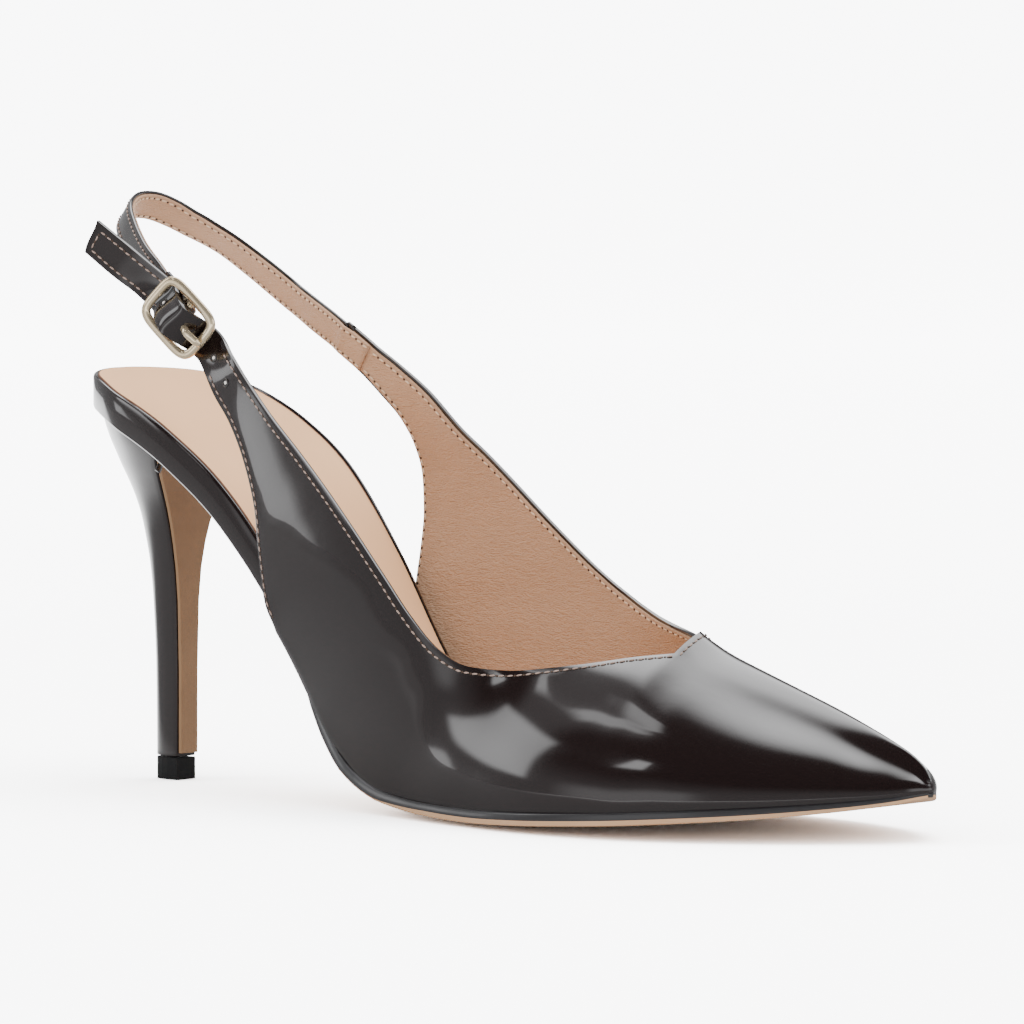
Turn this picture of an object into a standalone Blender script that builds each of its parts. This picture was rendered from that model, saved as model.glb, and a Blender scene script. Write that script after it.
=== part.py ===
"""Right-foot slingback pump on a stiletto heel, as a set of solids in one frame.

X runs from heel to toe, Y to the inner side of the foot, Z up from the floor.
Tables are in millimetres. Lateral is the outer side of the foot, at low Y.
"""

import math

import bmesh
import bpy
from mathutils import Vector

MM = 0.001
GAP = 0.3
WALL = 1.5
SOCK_THICK = 1.0
BAND_OUT = 1.9

# Plan of the foot bed, seat to toe: x, lateral edge y, medial edge y.
PLAN = (
    (0.0, -1.2, 1.2),
    (0.4, -4.0, 4.0),
    (1.5, -7.4, 7.4),
    (5.0, -13.3, 13.3),
    (12.0, -19.5, 19.4),
    (25.0, -24.2, 23.6),
    (45.0, -25.6, 23.6),
    (70.0, -25.6, 20.4),
    (95.0, -27.6, 18.6),
    (120.0, -31.6, 20.6),
    (145.0, -36.5, 27.5),
    (170.0, -39.0, 34.2),
    (190.0, -36.6, 36.0),
    (205.0, -31.5, 34.6),
    (220.0, -22.6, 31.0),
    (234.0, -11.6, 25.4),
    (244.0, -1.4, 17.9),
    (248.2, 4.4, 13.5),
    (249.5, 7.2, 11.6),
    (250.0, 8.5, 10.4),
)

# Side view: x, top of the sock, underside of the insole board.
PROFILE = (
    (0.0, 100.5, 92.2),
    (10.0, 99.3, 90.8),
    (23.0, 95.4, 86.4),
    (36.0, 90.2, 80.8),
    (46.0, 84.6, 74.8),
    (56.0, 77.9, 67.6),
    (66.0, 69.0, 58.0),
    (76.0, 57.5, 46.4),
    (83.0, 48.6, 38.0),
    (92.0, 36.8, 25.4),
    (97.0, 30.5, 19.0),
    (104.0, 22.6, 12.2),
    (111.0, 16.4, 8.2),
    (118.0, 12.4, 6.0),
    (134.0, 8.4, 4.5),
    (150.0, 7.5, 4.3),
    (166.0, 8.0, 4.8),
    (180.0, 8.7, 5.5),
    (192.0, 9.4, 6.2),
    (208.0, 10.5, 7.3),
    (221.0, 11.4, 8.2),
    (233.0, 12.4, 9.2),
    (245.0, 13.8, 10.6),
    (252.0, 15.2, 12.0),
)

# Outsole: x, thickness at the edge, how far its edge stands out of the plan.
SOLE = (
    (31.0, 1.7, -6.0),
    (70.0, 1.9, -6.0),
    (82.0, 2.6, -3.2),
    (92.0, 3.2, -0.6),
    (104.0, 3.0, 1.0),
    (120.0, 2.7, 1.0),
    (150.0, 3.0, 1.0),
    (180.0, 2.9, 1.0),
    (215.0, 2.7, 0.9),
    (236.0, 2.2, 0.6),
    (246.0, 1.7, 0.3),
    (250.0, 1.2, 0.1),
)
TREAD_DROP = 1.6

# Heel sections: z, front face x, half width, back x, squareness of the back.
HEEL = (
    (5.7, 22.6, 3.2, 13.8, 3.0),
    (27.0, 22.7, 3.25, 13.6, 3.0),
    (44.0, 22.8, 3.7, 12.8, 2.9),
    (52.0, 22.9, 4.5, 12.2, 2.8),
    (61.0, 23.3, 6.4, 10.9, 2.6),
    (65.0, 23.7, 7.7, 10.2, 2.5),
    (69.0, 24.3, 9.4, 9.1, 2.4),
    (73.0, 25.3, 11.7, 7.7, 2.3),
    (77.0, 26.8, 14.4, 5.9, 2.2),
    (81.0, 29.0, 17.2, 4.1, 2.1),
    (85.0, 32.0, 19.8, 2.6, 2.1),
    (89.0, 36.0, 21.8, 1.3, 2.1),
    (96.0, 43.0, 23.4, 0.4, 2.1),
)
TIP_TOP = 5.4

# Outer quarter, from the free end of the billet down its rear edge.
# Lower point x, y, z, then upper point x, y, z, bulge and lean.
QUARTER_LATERAL = (
    (19.1, -30.8, 129.7, 23.3, -30.8, 137.4, 0.0, 0.0),
    (27.2, -29.6, 124.2, 33.4, -29.6, 131.0, 0.0, 0.0),
    (33.6, -28.0, 120.0, 39.8, -27.6, 126.2, 0.0, 0.0),
    (56.3, -24.6, 96.4, 62.9, -25.3, 105.6, 0.1, 0.0),
    (62.2, -25.4, 90.0, 68.4, -26.0, 100.2, 0.3, 0.0),
    (68.8, -27.0, 80.4, 77.8, -27.6, 92.2, 0.5, 0.0),
    (73.6, -28.4, 69.2, 88.6, -29.4, 84.2, 0.8, 0.0),
    (75.6, -29.0, 57.7, 99.3, -31.2, 75.8, 1.2, 0.0),
    (77.2, -28.8, 48.0, 110.2, -32.8, 66.3, 1.6, 0.0),
)
# Inner quarter, from its seam with the sling strap.
QUARTER_MEDIAL = (
    (57.4, 19.4, 104.4, 61.2, 18.9, 111.9, 0.0, 0.0),
    (64.4, 19.0, 100.2, 68.6, 19.0, 107.4, 0.0, 0.0),
    (69.6, 20.4, 95.0, 75.6, 20.4, 102.6, 0.1, 0.0),
    (73.6, 22.8, 89.6, 83.3, 22.2, 96.7, 0.3, 0.0),
    (76.2, 25.2, 83.0, 92.3, 24.5, 87.5, 0.5, 0.0),
    (77.3, 27.0, 75.0, 98.8, 26.4, 81.8, 0.8, 0.0),
    (77.8, 26.8, 66.0, 106.5, 28.2, 74.8, 1.2, 0.0),
    (78.2, 25.0, 56.6, 114.5, 29.6, 67.6, 1.8, 0.0),
    (78.8, 22.6, 48.0, 122.5, 30.6, 61.0, 2.6, 0.0),
)
# Feather line x, then topline x, y, z, bulge and lean, back to front.
SIDE_LATERAL = (
    (80.5, 120.4, -33.8, 56.5, 2.2, 0.0),
    (92.0, 129.0, -34.2, 47.8, 2.6, 0.1),
    (104.0, 137.6, -33.6, 40.3, 2.8, 0.2),
    (118.0, 146.0, -31.6, 36.6, 3.0, 0.4),
    (134.0, 155.0, -28.0, 36.0, 3.0, 0.8),
    (150.0, 163.0, -23.4, 36.8, 3.0, 1.2),
    (166.0, 171.0, -17.6, 38.0, 3.0, 1.7),
    (180.0, 179.0, -11.0, 39.5, 3.0, 2.1),
    (192.0, 185.5, -5.0, 40.3, 2.8, 2.4),
)
SIDE_MEDIAL = (
    (80.5, 131.0, 31.0, 54.9, 4.0, 0.0),
    (92.0, 138.5, 30.8, 50.6, 5.0, 0.0),
    (104.0, 146.0, 29.8, 47.2, 5.2, 0.1),
    (118.0, 153.0, 28.4, 44.8, 5.0, 0.3),
    (134.0, 160.0, 26.4, 43.3, 4.4, 0.6),
    (150.0, 166.5, 24.0, 42.2, 3.6, 1.0),
    (166.0, 172.5, 20.9, 41.0, 3.0, 1.5),
    (180.0, 177.5, 17.9, 39.8, 2.8, 1.9),
    (192.0, 181.5, 15.0, 38.5, 2.6, 2.3),
)
# Vamp: feather x, lateral shoulder x, y, z, ridge x, y, z, medial shoulder x, y, z.
VAMP = (
    (192.0, 185.5, -5.0, 40.3, 184.0, 6.0, 44.7, 181.5, 15.0, 38.5),
    (203.0, 193.5, -4.2, 36.9, 192.0, 6.7, 40.3, 190.0, 16.2, 35.6),
    (213.0, 202.0, -2.6, 33.4, 201.0, 7.5, 36.8, 200.0, 16.8, 32.6),
    (222.0, 211.0, -0.6, 30.0, 210.5, 8.3, 33.3, 210.0, 17.1, 29.4),
    (230.5, 220.0, 1.4, 26.9, 220.0, 9.0, 29.8, 220.0, 17.0, 26.4),
    (237.4, 229.0, 3.4, 23.8, 229.5, 9.4, 26.2, 229.5, 16.0, 23.2),
    (242.9, 236.6, 5.4, 20.8, 237.6, 9.8, 22.9, 237.4, 14.6, 20.4),
    (246.8, 242.8, 7.2, 18.4, 243.7, 9.9, 20.0, 243.5, 13.2, 18.2),
    (249.1, 247.2, 8.4, 16.0, 247.8, 9.8, 17.1, 247.6, 11.6, 15.8),
    (250.0, 249.5, 9.0, 13.8, 249.8, 9.6, 14.3, 249.6, 10.3, 13.7),
)

# Sling strap, from the seam round the heel to the buckle: centre x, y, z, inward lean in degrees.
SLING = (
    (65.4, 16.0, 104.8, 0.0),
    (60.0, 15.7, 107.2, 0.0),
    (53.6, 18.2, 109.9, 0.0),
    (46.0, 21.6, 113.1, 0.0),
    (36.0, 24.2, 117.6, 6.0),
    (25.0, 24.2, 123.9, 14.0),
    (15.5, 23.2, 129.5, 22.0),
    (9.2, 22.0, 132.8, 27.0),
    (4.9, 19.6, 135.3, 31.0),
    (2.1, 16.2, 137.7, 34.0),
    (0.7, 11.5, 139.5, 36.0),
    (1.2, 6.0, 140.0, 36.0),
    (3.4, 0.5, 139.5, 34.0),
    (7.3, -5.0, 137.9, 28.0),
    (11.9, -9.2, 135.5, 20.0),
    (17.6, -13.0, 132.4, 12.0),
    (24.4, -17.0, 128.9, 6.0),
    (31.3, -20.5, 125.9, 0.0),
    (36.0, -22.4, 123.2, 0.0),
    (39.2, -23.5, 120.7, 0.0),
)
SLING_WIDTH = 8.0
SLING_THICK = 1.6

# Buckle: centre, direction along the strap, sizes.
BUCKLE_AT = Vector((47.0, -27.0, 114.5))
BUCKLE_ALONG = Vector((-0.6907, -0.198, 0.6956))
BUCKLE_OUT = Vector((0.2756, -0.9613, 0.0))
BUCKLE_LONG = 15.9
BUCKLE_WIDE = 11.8
WIRE = 2.0
BAR = 1.5


def curve(rows, column):
    """Smooth function of the first column that keeps to the rises and falls of the table."""
    xs = [row[0] for row in rows]
    ys = [row[column] for row in rows]
    steps = [b - a for a, b in zip(xs, xs[1:])]
    rates = [(b - a) / h for a, b, h in zip(ys, ys[1:], steps)]
    slopes = [rates[0]]
    for h0, h1, d0, d1 in zip(steps, steps[1:], rates, rates[1:]):
        if d0 * d1 <= 0:
            slopes.append(0.0)
        else:
            w0, w1 = 2 * h1 + h0, h1 + 2 * h0
            slopes.append((w0 + w1) / (w0 / d0 + w1 / d1))
    slopes.append(rates[-1])

    def value(x):
        x = min(max(x, xs[0]), xs[-1])
        i = 0
        while i < len(steps) - 1 and x > xs[i + 1]:
            i += 1
        h = steps[i]
        t = (x - xs[i]) / h
        return (
            ys[i] * (1 + 2 * t) * (1 - t) ** 2
            + slopes[i] * h * t * (1 - t) ** 2
            + ys[i + 1] * t * t * (3 - 2 * t)
            + slopes[i + 1] * h * t * t * (t - 1)
        )

    return value


def numbered(rows):
    return [(float(i),) + tuple(row) for i, row in enumerate(rows)]


plan_lateral = curve(PLAN, 1)
plan_medial = curve(PLAN, 2)
sock_top = curve(PROFILE, 1)
board_under = curve(PROFILE, 2)
sole_thick = curve(SOLE, 1)
sole_out = curve(SOLE, 2)


def lean_factor(x):
    """How much longer a vertical measure is than one square to the sloping bed."""
    rise = (board_under(x + 1) - board_under(x - 1)) / 2
    return math.sqrt(1 + rise * rise)


def smooth(a, b, x):
    t = min(max((x - a) / (b - a), 0.0), 1.0)
    return t * t * (3 - 2 * t)


def board_inset(x):
    return BAND_OUT * smooth(76.0, 100.0, x)


def edge(x, side, out):
    """Point of the plan's edge at station x, moved outwards by out."""
    line = plan_lateral if side < 0 else plan_medial
    back, front = max(x - 0.3, 0.0), min(x + 0.3, 250.0)
    dx, dy = front - back, line(front) - line(back)
    size = math.hypot(dx, dy)
    return Vector((x - side * dy / size * out, line(x) + side * dx / size * out))


def new_object(name, bm, colour, rough, metal=0.0, home=None):
    mesh = bpy.data.meshes.new(name)
    bmesh.ops.recalc_face_normals(bm, faces=bm.faces)
    bm.to_mesh(mesh)
    bm.free()
    for polygon in mesh.polygons:
        polygon.use_smooth = False
    obj = bpy.data.objects.new(name, mesh)
    material = bpy.data.materials.new(name)
    material.use_nodes = True
    shader = material.node_tree.nodes["Principled BSDF"]
    shader.inputs["Base Color"].default_value = (*colour, 1.0)
    shader.inputs["Roughness"].default_value = rough
    shader.inputs["Metallic"].default_value = metal
    mesh.materials.append(material)
    (home or SHOE).objects.link(obj)
    return obj


def quad(bm, *corners):
    kept = []
    for corner in corners:
        if corner not in kept:
            kept.append(corner)
    if len(kept) > 2:
        bm.faces.new(kept)


def plate(stations, out, top, under, across):
    """Closed slab between two heights, over the plan moved outwards by out(x)."""
    bm = bmesh.new()
    layers = []
    for height in (top, under):
        layer = []
        for x in stations:
            a, b = edge(x, -1, out(x)), edge(x, 1, out(x))
            row = []
            for j in range(across + 1):
                t = j / across
                p = a.lerp(b, t)
                row.append(bm.verts.new((p.x, p.y, height(p.x, 2 * t - 1))))
            layer.append(row)
        layers.append(layer)
    upper, lower = layers
    for i in range(len(stations) - 1):
        for j in range(across):
            quad(bm, upper[i][j], upper[i + 1][j], upper[i + 1][j + 1], upper[i][j + 1])
            quad(bm, lower[i][j], lower[i][j + 1], lower[i + 1][j + 1], lower[i + 1][j])
        for j in (0, across):
            quad(bm, upper[i][j], lower[i][j], lower[i + 1][j], upper[i + 1][j])
    for i in (0, -1):
        for j in range(across):
            quad(bm, upper[i][j], upper[i][j + 1], lower[i][j + 1], lower[i][j])
    return bm


def loft(rings):
    """Closed solid through rings of the same number of points, with flat ends."""
    bm = bmesh.new()
    loops = [[bm.verts.new(p) for p in ring] for ring in rings]
    count = len(loops[0])
    for a, b in zip(loops, loops[1:]):
        for k in range(count):
            quad(bm, a[k], a[(k + 1) % count], b[(k + 1) % count], b[k])
    for ring in (loops[0], loops[-1]):
        bm.faces.new(ring)
    return bm


def boolean(target, cutter, operation="DIFFERENCE"):
    cutter.hide_render = True
    cutter.display_type = "WIRE"
    modifier = target.modifiers.new(cutter.name, "BOOLEAN")
    modifier.operation = operation
    modifier.solver = "EXACT"
    modifier.object = cutter


def dish(x, t):
    return 0.9 * (1 - smooth(60.0, 120.0, x)) * smooth(0.0, 14.0, x) * (1 - t * t)


SEAT_STATIONS = (0.0, 0.4, 1.5, 3.2, 6.0, 10.0, 16.0, 24.0, 34.0, 44.0, 53.0, 61.0, 68.0)
WAIST_STATIONS = (74.0, 79.0, 84.0, 89.0, 94.0, 99.0, 104.0, 110.0, 118.0, 128.0)
TOE_STATIONS = (140.0, 155.0, 170.0, 182.0, 194.0, 205.0, 215.0, 225.0, 234.0, 241.0, 246.0)


def make_footbed():
    def top(x, t):
        return sock_top(x) - (SOCK_THICK + GAP) * lean_factor(x) - dish(x, t)

    def under(x, t):
        return board_under(x)

    stations = SEAT_STATIONS + WAIST_STATIONS + TOE_STATIONS
    bm = plate(stations, lambda x: 0.4 - 0.4 * smooth(60, 76, x) - board_inset(x), top, under, 6)
    return new_object("footbed", bm, (0.03, 0.025, 0.025), 0.3)


def make_sock():
    def top(x, t):
        return sock_top(x) - dish(x, t)

    def under(x, t):
        return sock_top(x) - SOCK_THICK * lean_factor(x) - dish(x, t)

    stations = SEAT_STATIONS + WAIST_STATIONS + TOE_STATIONS[:-2]
    bm = plate(stations, lambda x: -0.9 - board_inset(x) * 0.9, top, under, 6)
    return new_object("sock", bm, (0.75, 0.5, 0.33), 0.5)


def sole_top(x, t=0.0):
    return board_under(x) - GAP * lean_factor(x)


def sole_under(x, t):
    edge_z = sole_top(x) - sole_thick(x) * lean_factor(x)
    drop = TREAD_DROP * smooth(100.0, 125.0, x) * (1 - smooth(185.0, 240.0, x))
    return max(0.0, edge_z - drop * (1 - t * t))


def make_outsole():
    stations = (32.2, 40.0, 48.0, 56.0, 62.0, 68.0) + WAIST_STATIONS + (
        134.0, 140.0, 146.0, 152.0, 158.0, 164.0, 170.0, 178.0, 186.0, 194.0, 202.0,
        210.0, 218.0, 226.0, 233.0, 239.0, 243.5, 247.0, 248.8, 249.6, 250.0,
    )
    bm = plate(stations, sole_out, sole_top, sole_under, 8)
    return new_object("outsole", bm, (0.6, 0.4, 0.25), 0.55)


def heel_ring(z, front, half, back, power, count=12):
    """Flat front face and a rounded back, anticlockwise from above."""
    points = []
    for k in range(count + 1):
        a = math.radians(90 + 180 * k / count)
        c, s = math.cos(a), math.sin(a)
        x = front - (front - back) * abs(c) ** (2 / power)
        y = half * math.copysign(abs(s) ** (2 / power), s)
        points.append((x, y, z))
    return points


def make_heel():
    front, half = curve(HEEL, 1), curve(HEEL, 2)
    back, power = curve(HEEL, 3), curve(HEEL, 4)
    levels = (5.7, 16.0, 27.0, 36.0, 44.0, 50.0, 55.0, 59.0, 62.5, 65.5, 68.5, 71.5,
              74.5, 77.5, 80.5, 83.5, 87.0, 91.0, 96.0)
    rings = [heel_ring(z, front(z), half(z), back(z), power(z)) for z in levels]
    heel = new_object("heel", loft(rings), (0.03, 0.025, 0.025), 0.2)
    tip_rings = [heel_ring(z, front(5.7), half(5.7), back(5.7), 3.0) for z in (0.0, TIP_TOP)]
    tip = new_object("heel_tip", loft(tip_rings), (0.02, 0.02, 0.02), 0.7)

    def seat_cut(x, t):
        return board_under(x) - GAP * 1.2

    bm = bmesh.new()
    xs = [-8.0 + 4.0 * i for i in range(16)]
    rows = []
    for x in xs:
        z = seat_cut(x, 0)
        rows.append([bm.verts.new(p) for p in ((x, -34, z), (x, 34, z), (x, 34, 130), (x, -34, 130))])
    for a, b in zip(rows, rows[1:]):
        for k in range(4):
            quad(bm, a[k], a[(k + 1) % 4], b[(k + 1) % 4], b[k])
    bm.faces.new(rows[0])
    bm.faces.new(rows[-1])
    cutter = new_object("seat_cutter", bm, (1, 0, 0), 0.5, home=CUTTERS)
    boolean(heel, cutter)

    flap_levels = (6.6, 27.0, 44.0, 52.0, 58.0, 63.0, 67.0, 71.0, 74.5, 77.5, 79.8)
    flap = []
    for z in flap_levels:
        x, w = front(z) + GAP, half(z) - 0.25
        flap.append([(x, -w, z), (x, w, z), (x + 0.9, w - 0.2, z), (x + 0.9, -w + 0.2, z)])
    new_object("breast_flap", loft(flap), (0.45, 0.28, 0.16), 0.55)
    return heel, tip


def bezier(p0, p1, p2, p3, t):
    u = 1 - t
    return p0 * u**3 + p1 * (3 * u * u * t) + p2 * (3 * u * t * t) + p3 * t**3


def wall_column(low, high, out, bulge, lean, rows):
    """Points up one line of the wall, leaving the lower edge upright and leaning in at the top."""
    rise = high.z - low.z
    reach = high - low
    start = low + Vector((reach.x * 0.15, 0, rise * 0.4)) + out * bulge
    inward = Vector((0, -out.y, 0)) * lean
    arrive = (Vector((reach.x / max(rise, 1) * 0.6, 0, 1.0)) + inward).normalized()
    end = high - arrive * (reach.length * 0.34) + out * (bulge * 0.5)
    return [bezier(low, start, end, high, j / rows) for j in range(rows + 1)]


# The billet through the buckle: distance along it, how far out the billet's face lies.
BILLET = ((7.4, -1.7), (3.8, 1.7), (0.0, 3.9), (-3.8, 1.7), (-7.4, -1.7), (-10.6, -2.4))
BILLET_HALF = 4.3


def quarter_rows():
    """The outer quarter's table with the rows that cross the buckle put in after the free end."""
    across = []
    for along, out in BILLET:
        low = buckle_point(along, -BILLET_HALF, out)
        high = buckle_point(along, BILLET_HALF, out)
        across.append((*low, *high, 0.0, 0.0))
    return QUARTER_LATERAL[:3] + tuple(across) + QUARTER_LATERAL[3:]


WALL_ROWS = 8
CROWN_ROWS = 3
PER_SPAN = 2


def feather(x, side):
    out = BAND_OUT - board_inset(x)
    p = edge(x, side, out)
    return Vector((p.x, p.y, board_under(x)))


def side_columns(quarter, sides, side):
    """Columns from the free end to the throat, and the feather and outward direction of each."""
    rows = [tuple(row) for row in quarter]
    for x, tx, ty, tz, bulge, lean in sides:
        low = feather(x, side)
        rows.append((low.x, low.y, low.z, tx, ty, tz, bulge, lean))
    table = numbered(rows)
    parts = [curve(table, c) for c in range(1, 9)]
    columns = []
    last = len(rows) - 1
    for k in range(last * PER_SPAN + 1):
        u = k / PER_SPAN
        v = [part(u) for part in parts]
        low, high = Vector(v[0:3]), Vector(v[3:6])
        if u >= len(quarter):
            low = feather(v[0], side)
        columns.append(wall_column(low, high, Vector((0, side, 0)), v[6], v[7], WALL_ROWS))
    return columns


def vamp_columns():
    table = numbered(VAMP)
    parts = [curve(table, c) for c in range(1, 11)]
    found = []
    count = (len(VAMP) - 1) * PER_SPAN
    for k in range(1, count + 1):
        v = [part(k / PER_SPAN) for part in parts]
        ridge = Vector(v[4:7])
        shrink = 1 - k / count
        halves = []
        for side, shoulder in ((-1, Vector(v[1:4])), (1, Vector(v[7:10]))):
            low = feather(v[0], side)
            normal = edge(v[0], side, 1.0) - edge(v[0], side, 0.0)
            out = Vector((normal.x, normal.y, 0))
            side_part = crown_wall(low, shoulder, ridge, out, 0.4 + 2.2 * shrink)
            crown = crown_part(shoulder, ridge)
            halves.append(side_part + crown)
        found.append(halves)
    return found


def crown_wall(low, shoulder, ridge, out, bulge):
    rise = shoulder.z - low.z
    start = low + Vector((0, 0, rise * 0.5)) + out * bulge
    along = (ridge - shoulder).normalized()
    along = (along + Vector((0, 0, 0.12))).normalized()
    end = shoulder - along * ((shoulder - low).length * 0.3)
    return [bezier(low, start, end, shoulder, j / WALL_ROWS) for j in range(WALL_ROWS + 1)]


def crown_part(shoulder, ridge):
    middle = (shoulder + ridge) / 2 + Vector((0, 0, 0.12 * abs(ridge.y - shoulder.y) * 0.5))
    points = []
    for j in range(1, CROWN_ROWS + 1):
        t = j / CROWN_ROWS
        points.append(shoulder * (1 - t) ** 2 + middle * (2 * t * (1 - t)) + ridge * t * t)
    return points


def make_upper():
    bm = bmesh.new()
    outer_quarter = quarter_rows()
    lateral = side_columns(outer_quarter, SIDE_LATERAL, -1)
    medial = side_columns(QUARTER_MEDIAL, SIDE_MEDIAL, 1)
    first = VAMP[0]
    ridge = Vector(first[4:7])
    lateral[-1] += crown_part(Vector(first[1:4]), ridge)
    medial[-1] += crown_part(Vector(first[7:10]), ridge)
    for left, right in vamp_columns():
        lateral.append(left)
        medial.append(right)
    grids = []
    for columns in (lateral, medial):
        grids.append([[bm.verts.new(p) for p in column] for column in columns])
    left, right = grids
    for a, b in zip(left[-len(vamp_columns()) - 1:], right[-len(vamp_columns()) - 1:]):
        bm.verts.remove(b[-1])
        b[-1] = a[-1]
    bottom = set()
    for grid in grids:
        for a, b in zip(grid, grid[1:]):
            rows = min(len(a), len(b)) - 1
            for j in range(rows):
                quad(bm, a[j], b[j], b[j + 1], a[j + 1])
    cap_left, cap_right = left[-1], right[-1]
    for j in range(len(cap_left) - 1):
        quad(bm, cap_left[j], cap_right[j], cap_right[j + 1], cap_left[j + 1])
    quarters = (len(outer_quarter), len(QUARTER_MEDIAL))
    for grid, start in zip(grids, quarters):
        for column in grid[start * PER_SPAN:]:
            bottom.add(column[0])
    bmesh.ops.recalc_face_normals(bm, faces=bm.faces)
    thicken(bm, bottom)
    return new_object("upper", bm, (0.03, 0.025, 0.025), 0.15)


def thicken(bm, bottom):
    """Closes the outer skin into a wall of even thickness on its inner side."""
    bm.normal_update()
    skin = list(bm.faces)
    rim = [e for e in bm.edges if len(e.link_faces) == 1]
    face = max(skin, key=lambda f: f.calc_center_median().y)
    sign = 1 if face.normal.y > 0 else -1
    inner = {}
    for vert in list(bm.verts):
        normal = vert.normal * sign
        if vert in bottom:
            normal = Vector((normal.x, normal.y, 0)).normalized()
        inner[vert] = bm.verts.new(vert.co - normal * WALL)
    for f in skin:
        bm.faces.new([inner[v] for v in reversed(f.verts)])
    for e in rim:
        a, b = e.verts
        bm.faces.new((a, b, inner[b], inner[a]))


def spline(points, per_span):
    """Smooth path through the points."""
    ends = [points[0] * 2 - points[1]] + list(points) + [points[-1] * 2 - points[-2]]
    path = []
    for p0, p1, p2, p3 in zip(ends, ends[1:], ends[2:], ends[3:]):
        for k in range(per_span):
            t = k / per_span
            path.append(
                (p1 * 2 + (p2 - p0) * t + (p0 * 2 - p1 * 5 + p2 * 4 - p3) * t * t
                 + (p1 * 3 - p0 - p2 * 3 + p3) * t**3) / 2
            )
    path.append(points[-1])
    return path


def make_sling():
    path = spline([Vector(p[:3]) for p in SLING], 2)
    lean = curve(numbered(SLING), 4)
    rings = []
    for i, p in enumerate(path):
        ahead = path[min(i + 1, len(path) - 1)] - path[max(i - 1, 0)]
        ahead.normalize()
        out = ahead.cross(Vector((0, 0, 1))).normalized()
        if out.dot(p - Vector((30, 0, p.z))) < 0:
            out = -out
        up = out.cross(ahead).normalized()
        if up.z < 0:
            up = -up
        turn = math.radians(lean(i / 2))
        up, out = up * math.cos(turn) - out * math.sin(turn), out * math.cos(turn) + up * math.sin(turn)
        w, t = up * (SLING_WIDTH / 2), out * (SLING_THICK / 2)
        c = up * 0.35
        rings.append([p - w + c - t, p - w + c * 0.6 + t, p + w - c * 0.6 + t, p + w - c - t])
    sling = new_object("sling_strap", loft(rings), (0.03, 0.025, 0.025), 0.15)
    end = strap_end()
    boolean(sling, end, "UNION")
    slot = block("slot_cutter", (-4.4, 3.4), (-1.3, 1.3), (-4.0, 4.0))
    boolean(sling, slot)
    return sling


def buckle_point(along, wide, out):
    across = BUCKLE_ALONG.cross(BUCKLE_OUT).normalized()
    return BUCKLE_AT + BUCKLE_ALONG * along + across * wide + BUCKLE_OUT * out


BAR_OUT = -0.5


def strap_end():
    """The strap's turned end, wrapped round the bar and laid back on its inner side."""
    count = 14
    outer, inner = BAR / 2 + GAP + 1.1, BAR / 2 + GAP
    low, high = math.radians(-62), math.radians(75)
    arc = [high + (2 * math.pi - high + low) * k / count for k in range(count + 1)]
    profile = [(11.5, -4.2), (9.5, -4.1), (4.6, -3.2)]
    profile += [(outer * math.cos(a), BAR_OUT + outer * math.sin(a)) for a in arc]
    profile += [(4.0, -5.6), (11.5, -6.0)]
    hole = [(inner * math.cos(a), BAR_OUT + inner * math.sin(a))
            for a in (2 * math.pi * k / 12 for k in range(12))]
    body = prism("strap_end", profile, SLING_WIDTH / 2)
    bore = prism("strap_bore", hole, SLING_WIDTH)
    boolean(body, bore)
    return body


def prism(name, profile, half):
    rings = [[buckle_point(s, w, h) for s, h in profile] for w in (-half, half)]
    return new_object(name, loft(rings), (0.03, 0.025, 0.025), 0.3, home=CUTTERS)


def block(name, along, wide, out):
    rings = [
        [buckle_point(along[i], wide[j], h) for i, j in ((0, 0), (1, 0), (1, 1), (0, 1))]
        for h in out
    ]
    return new_object(name, loft(rings), (1, 0, 0), 0.5, home=CUTTERS)


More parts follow.
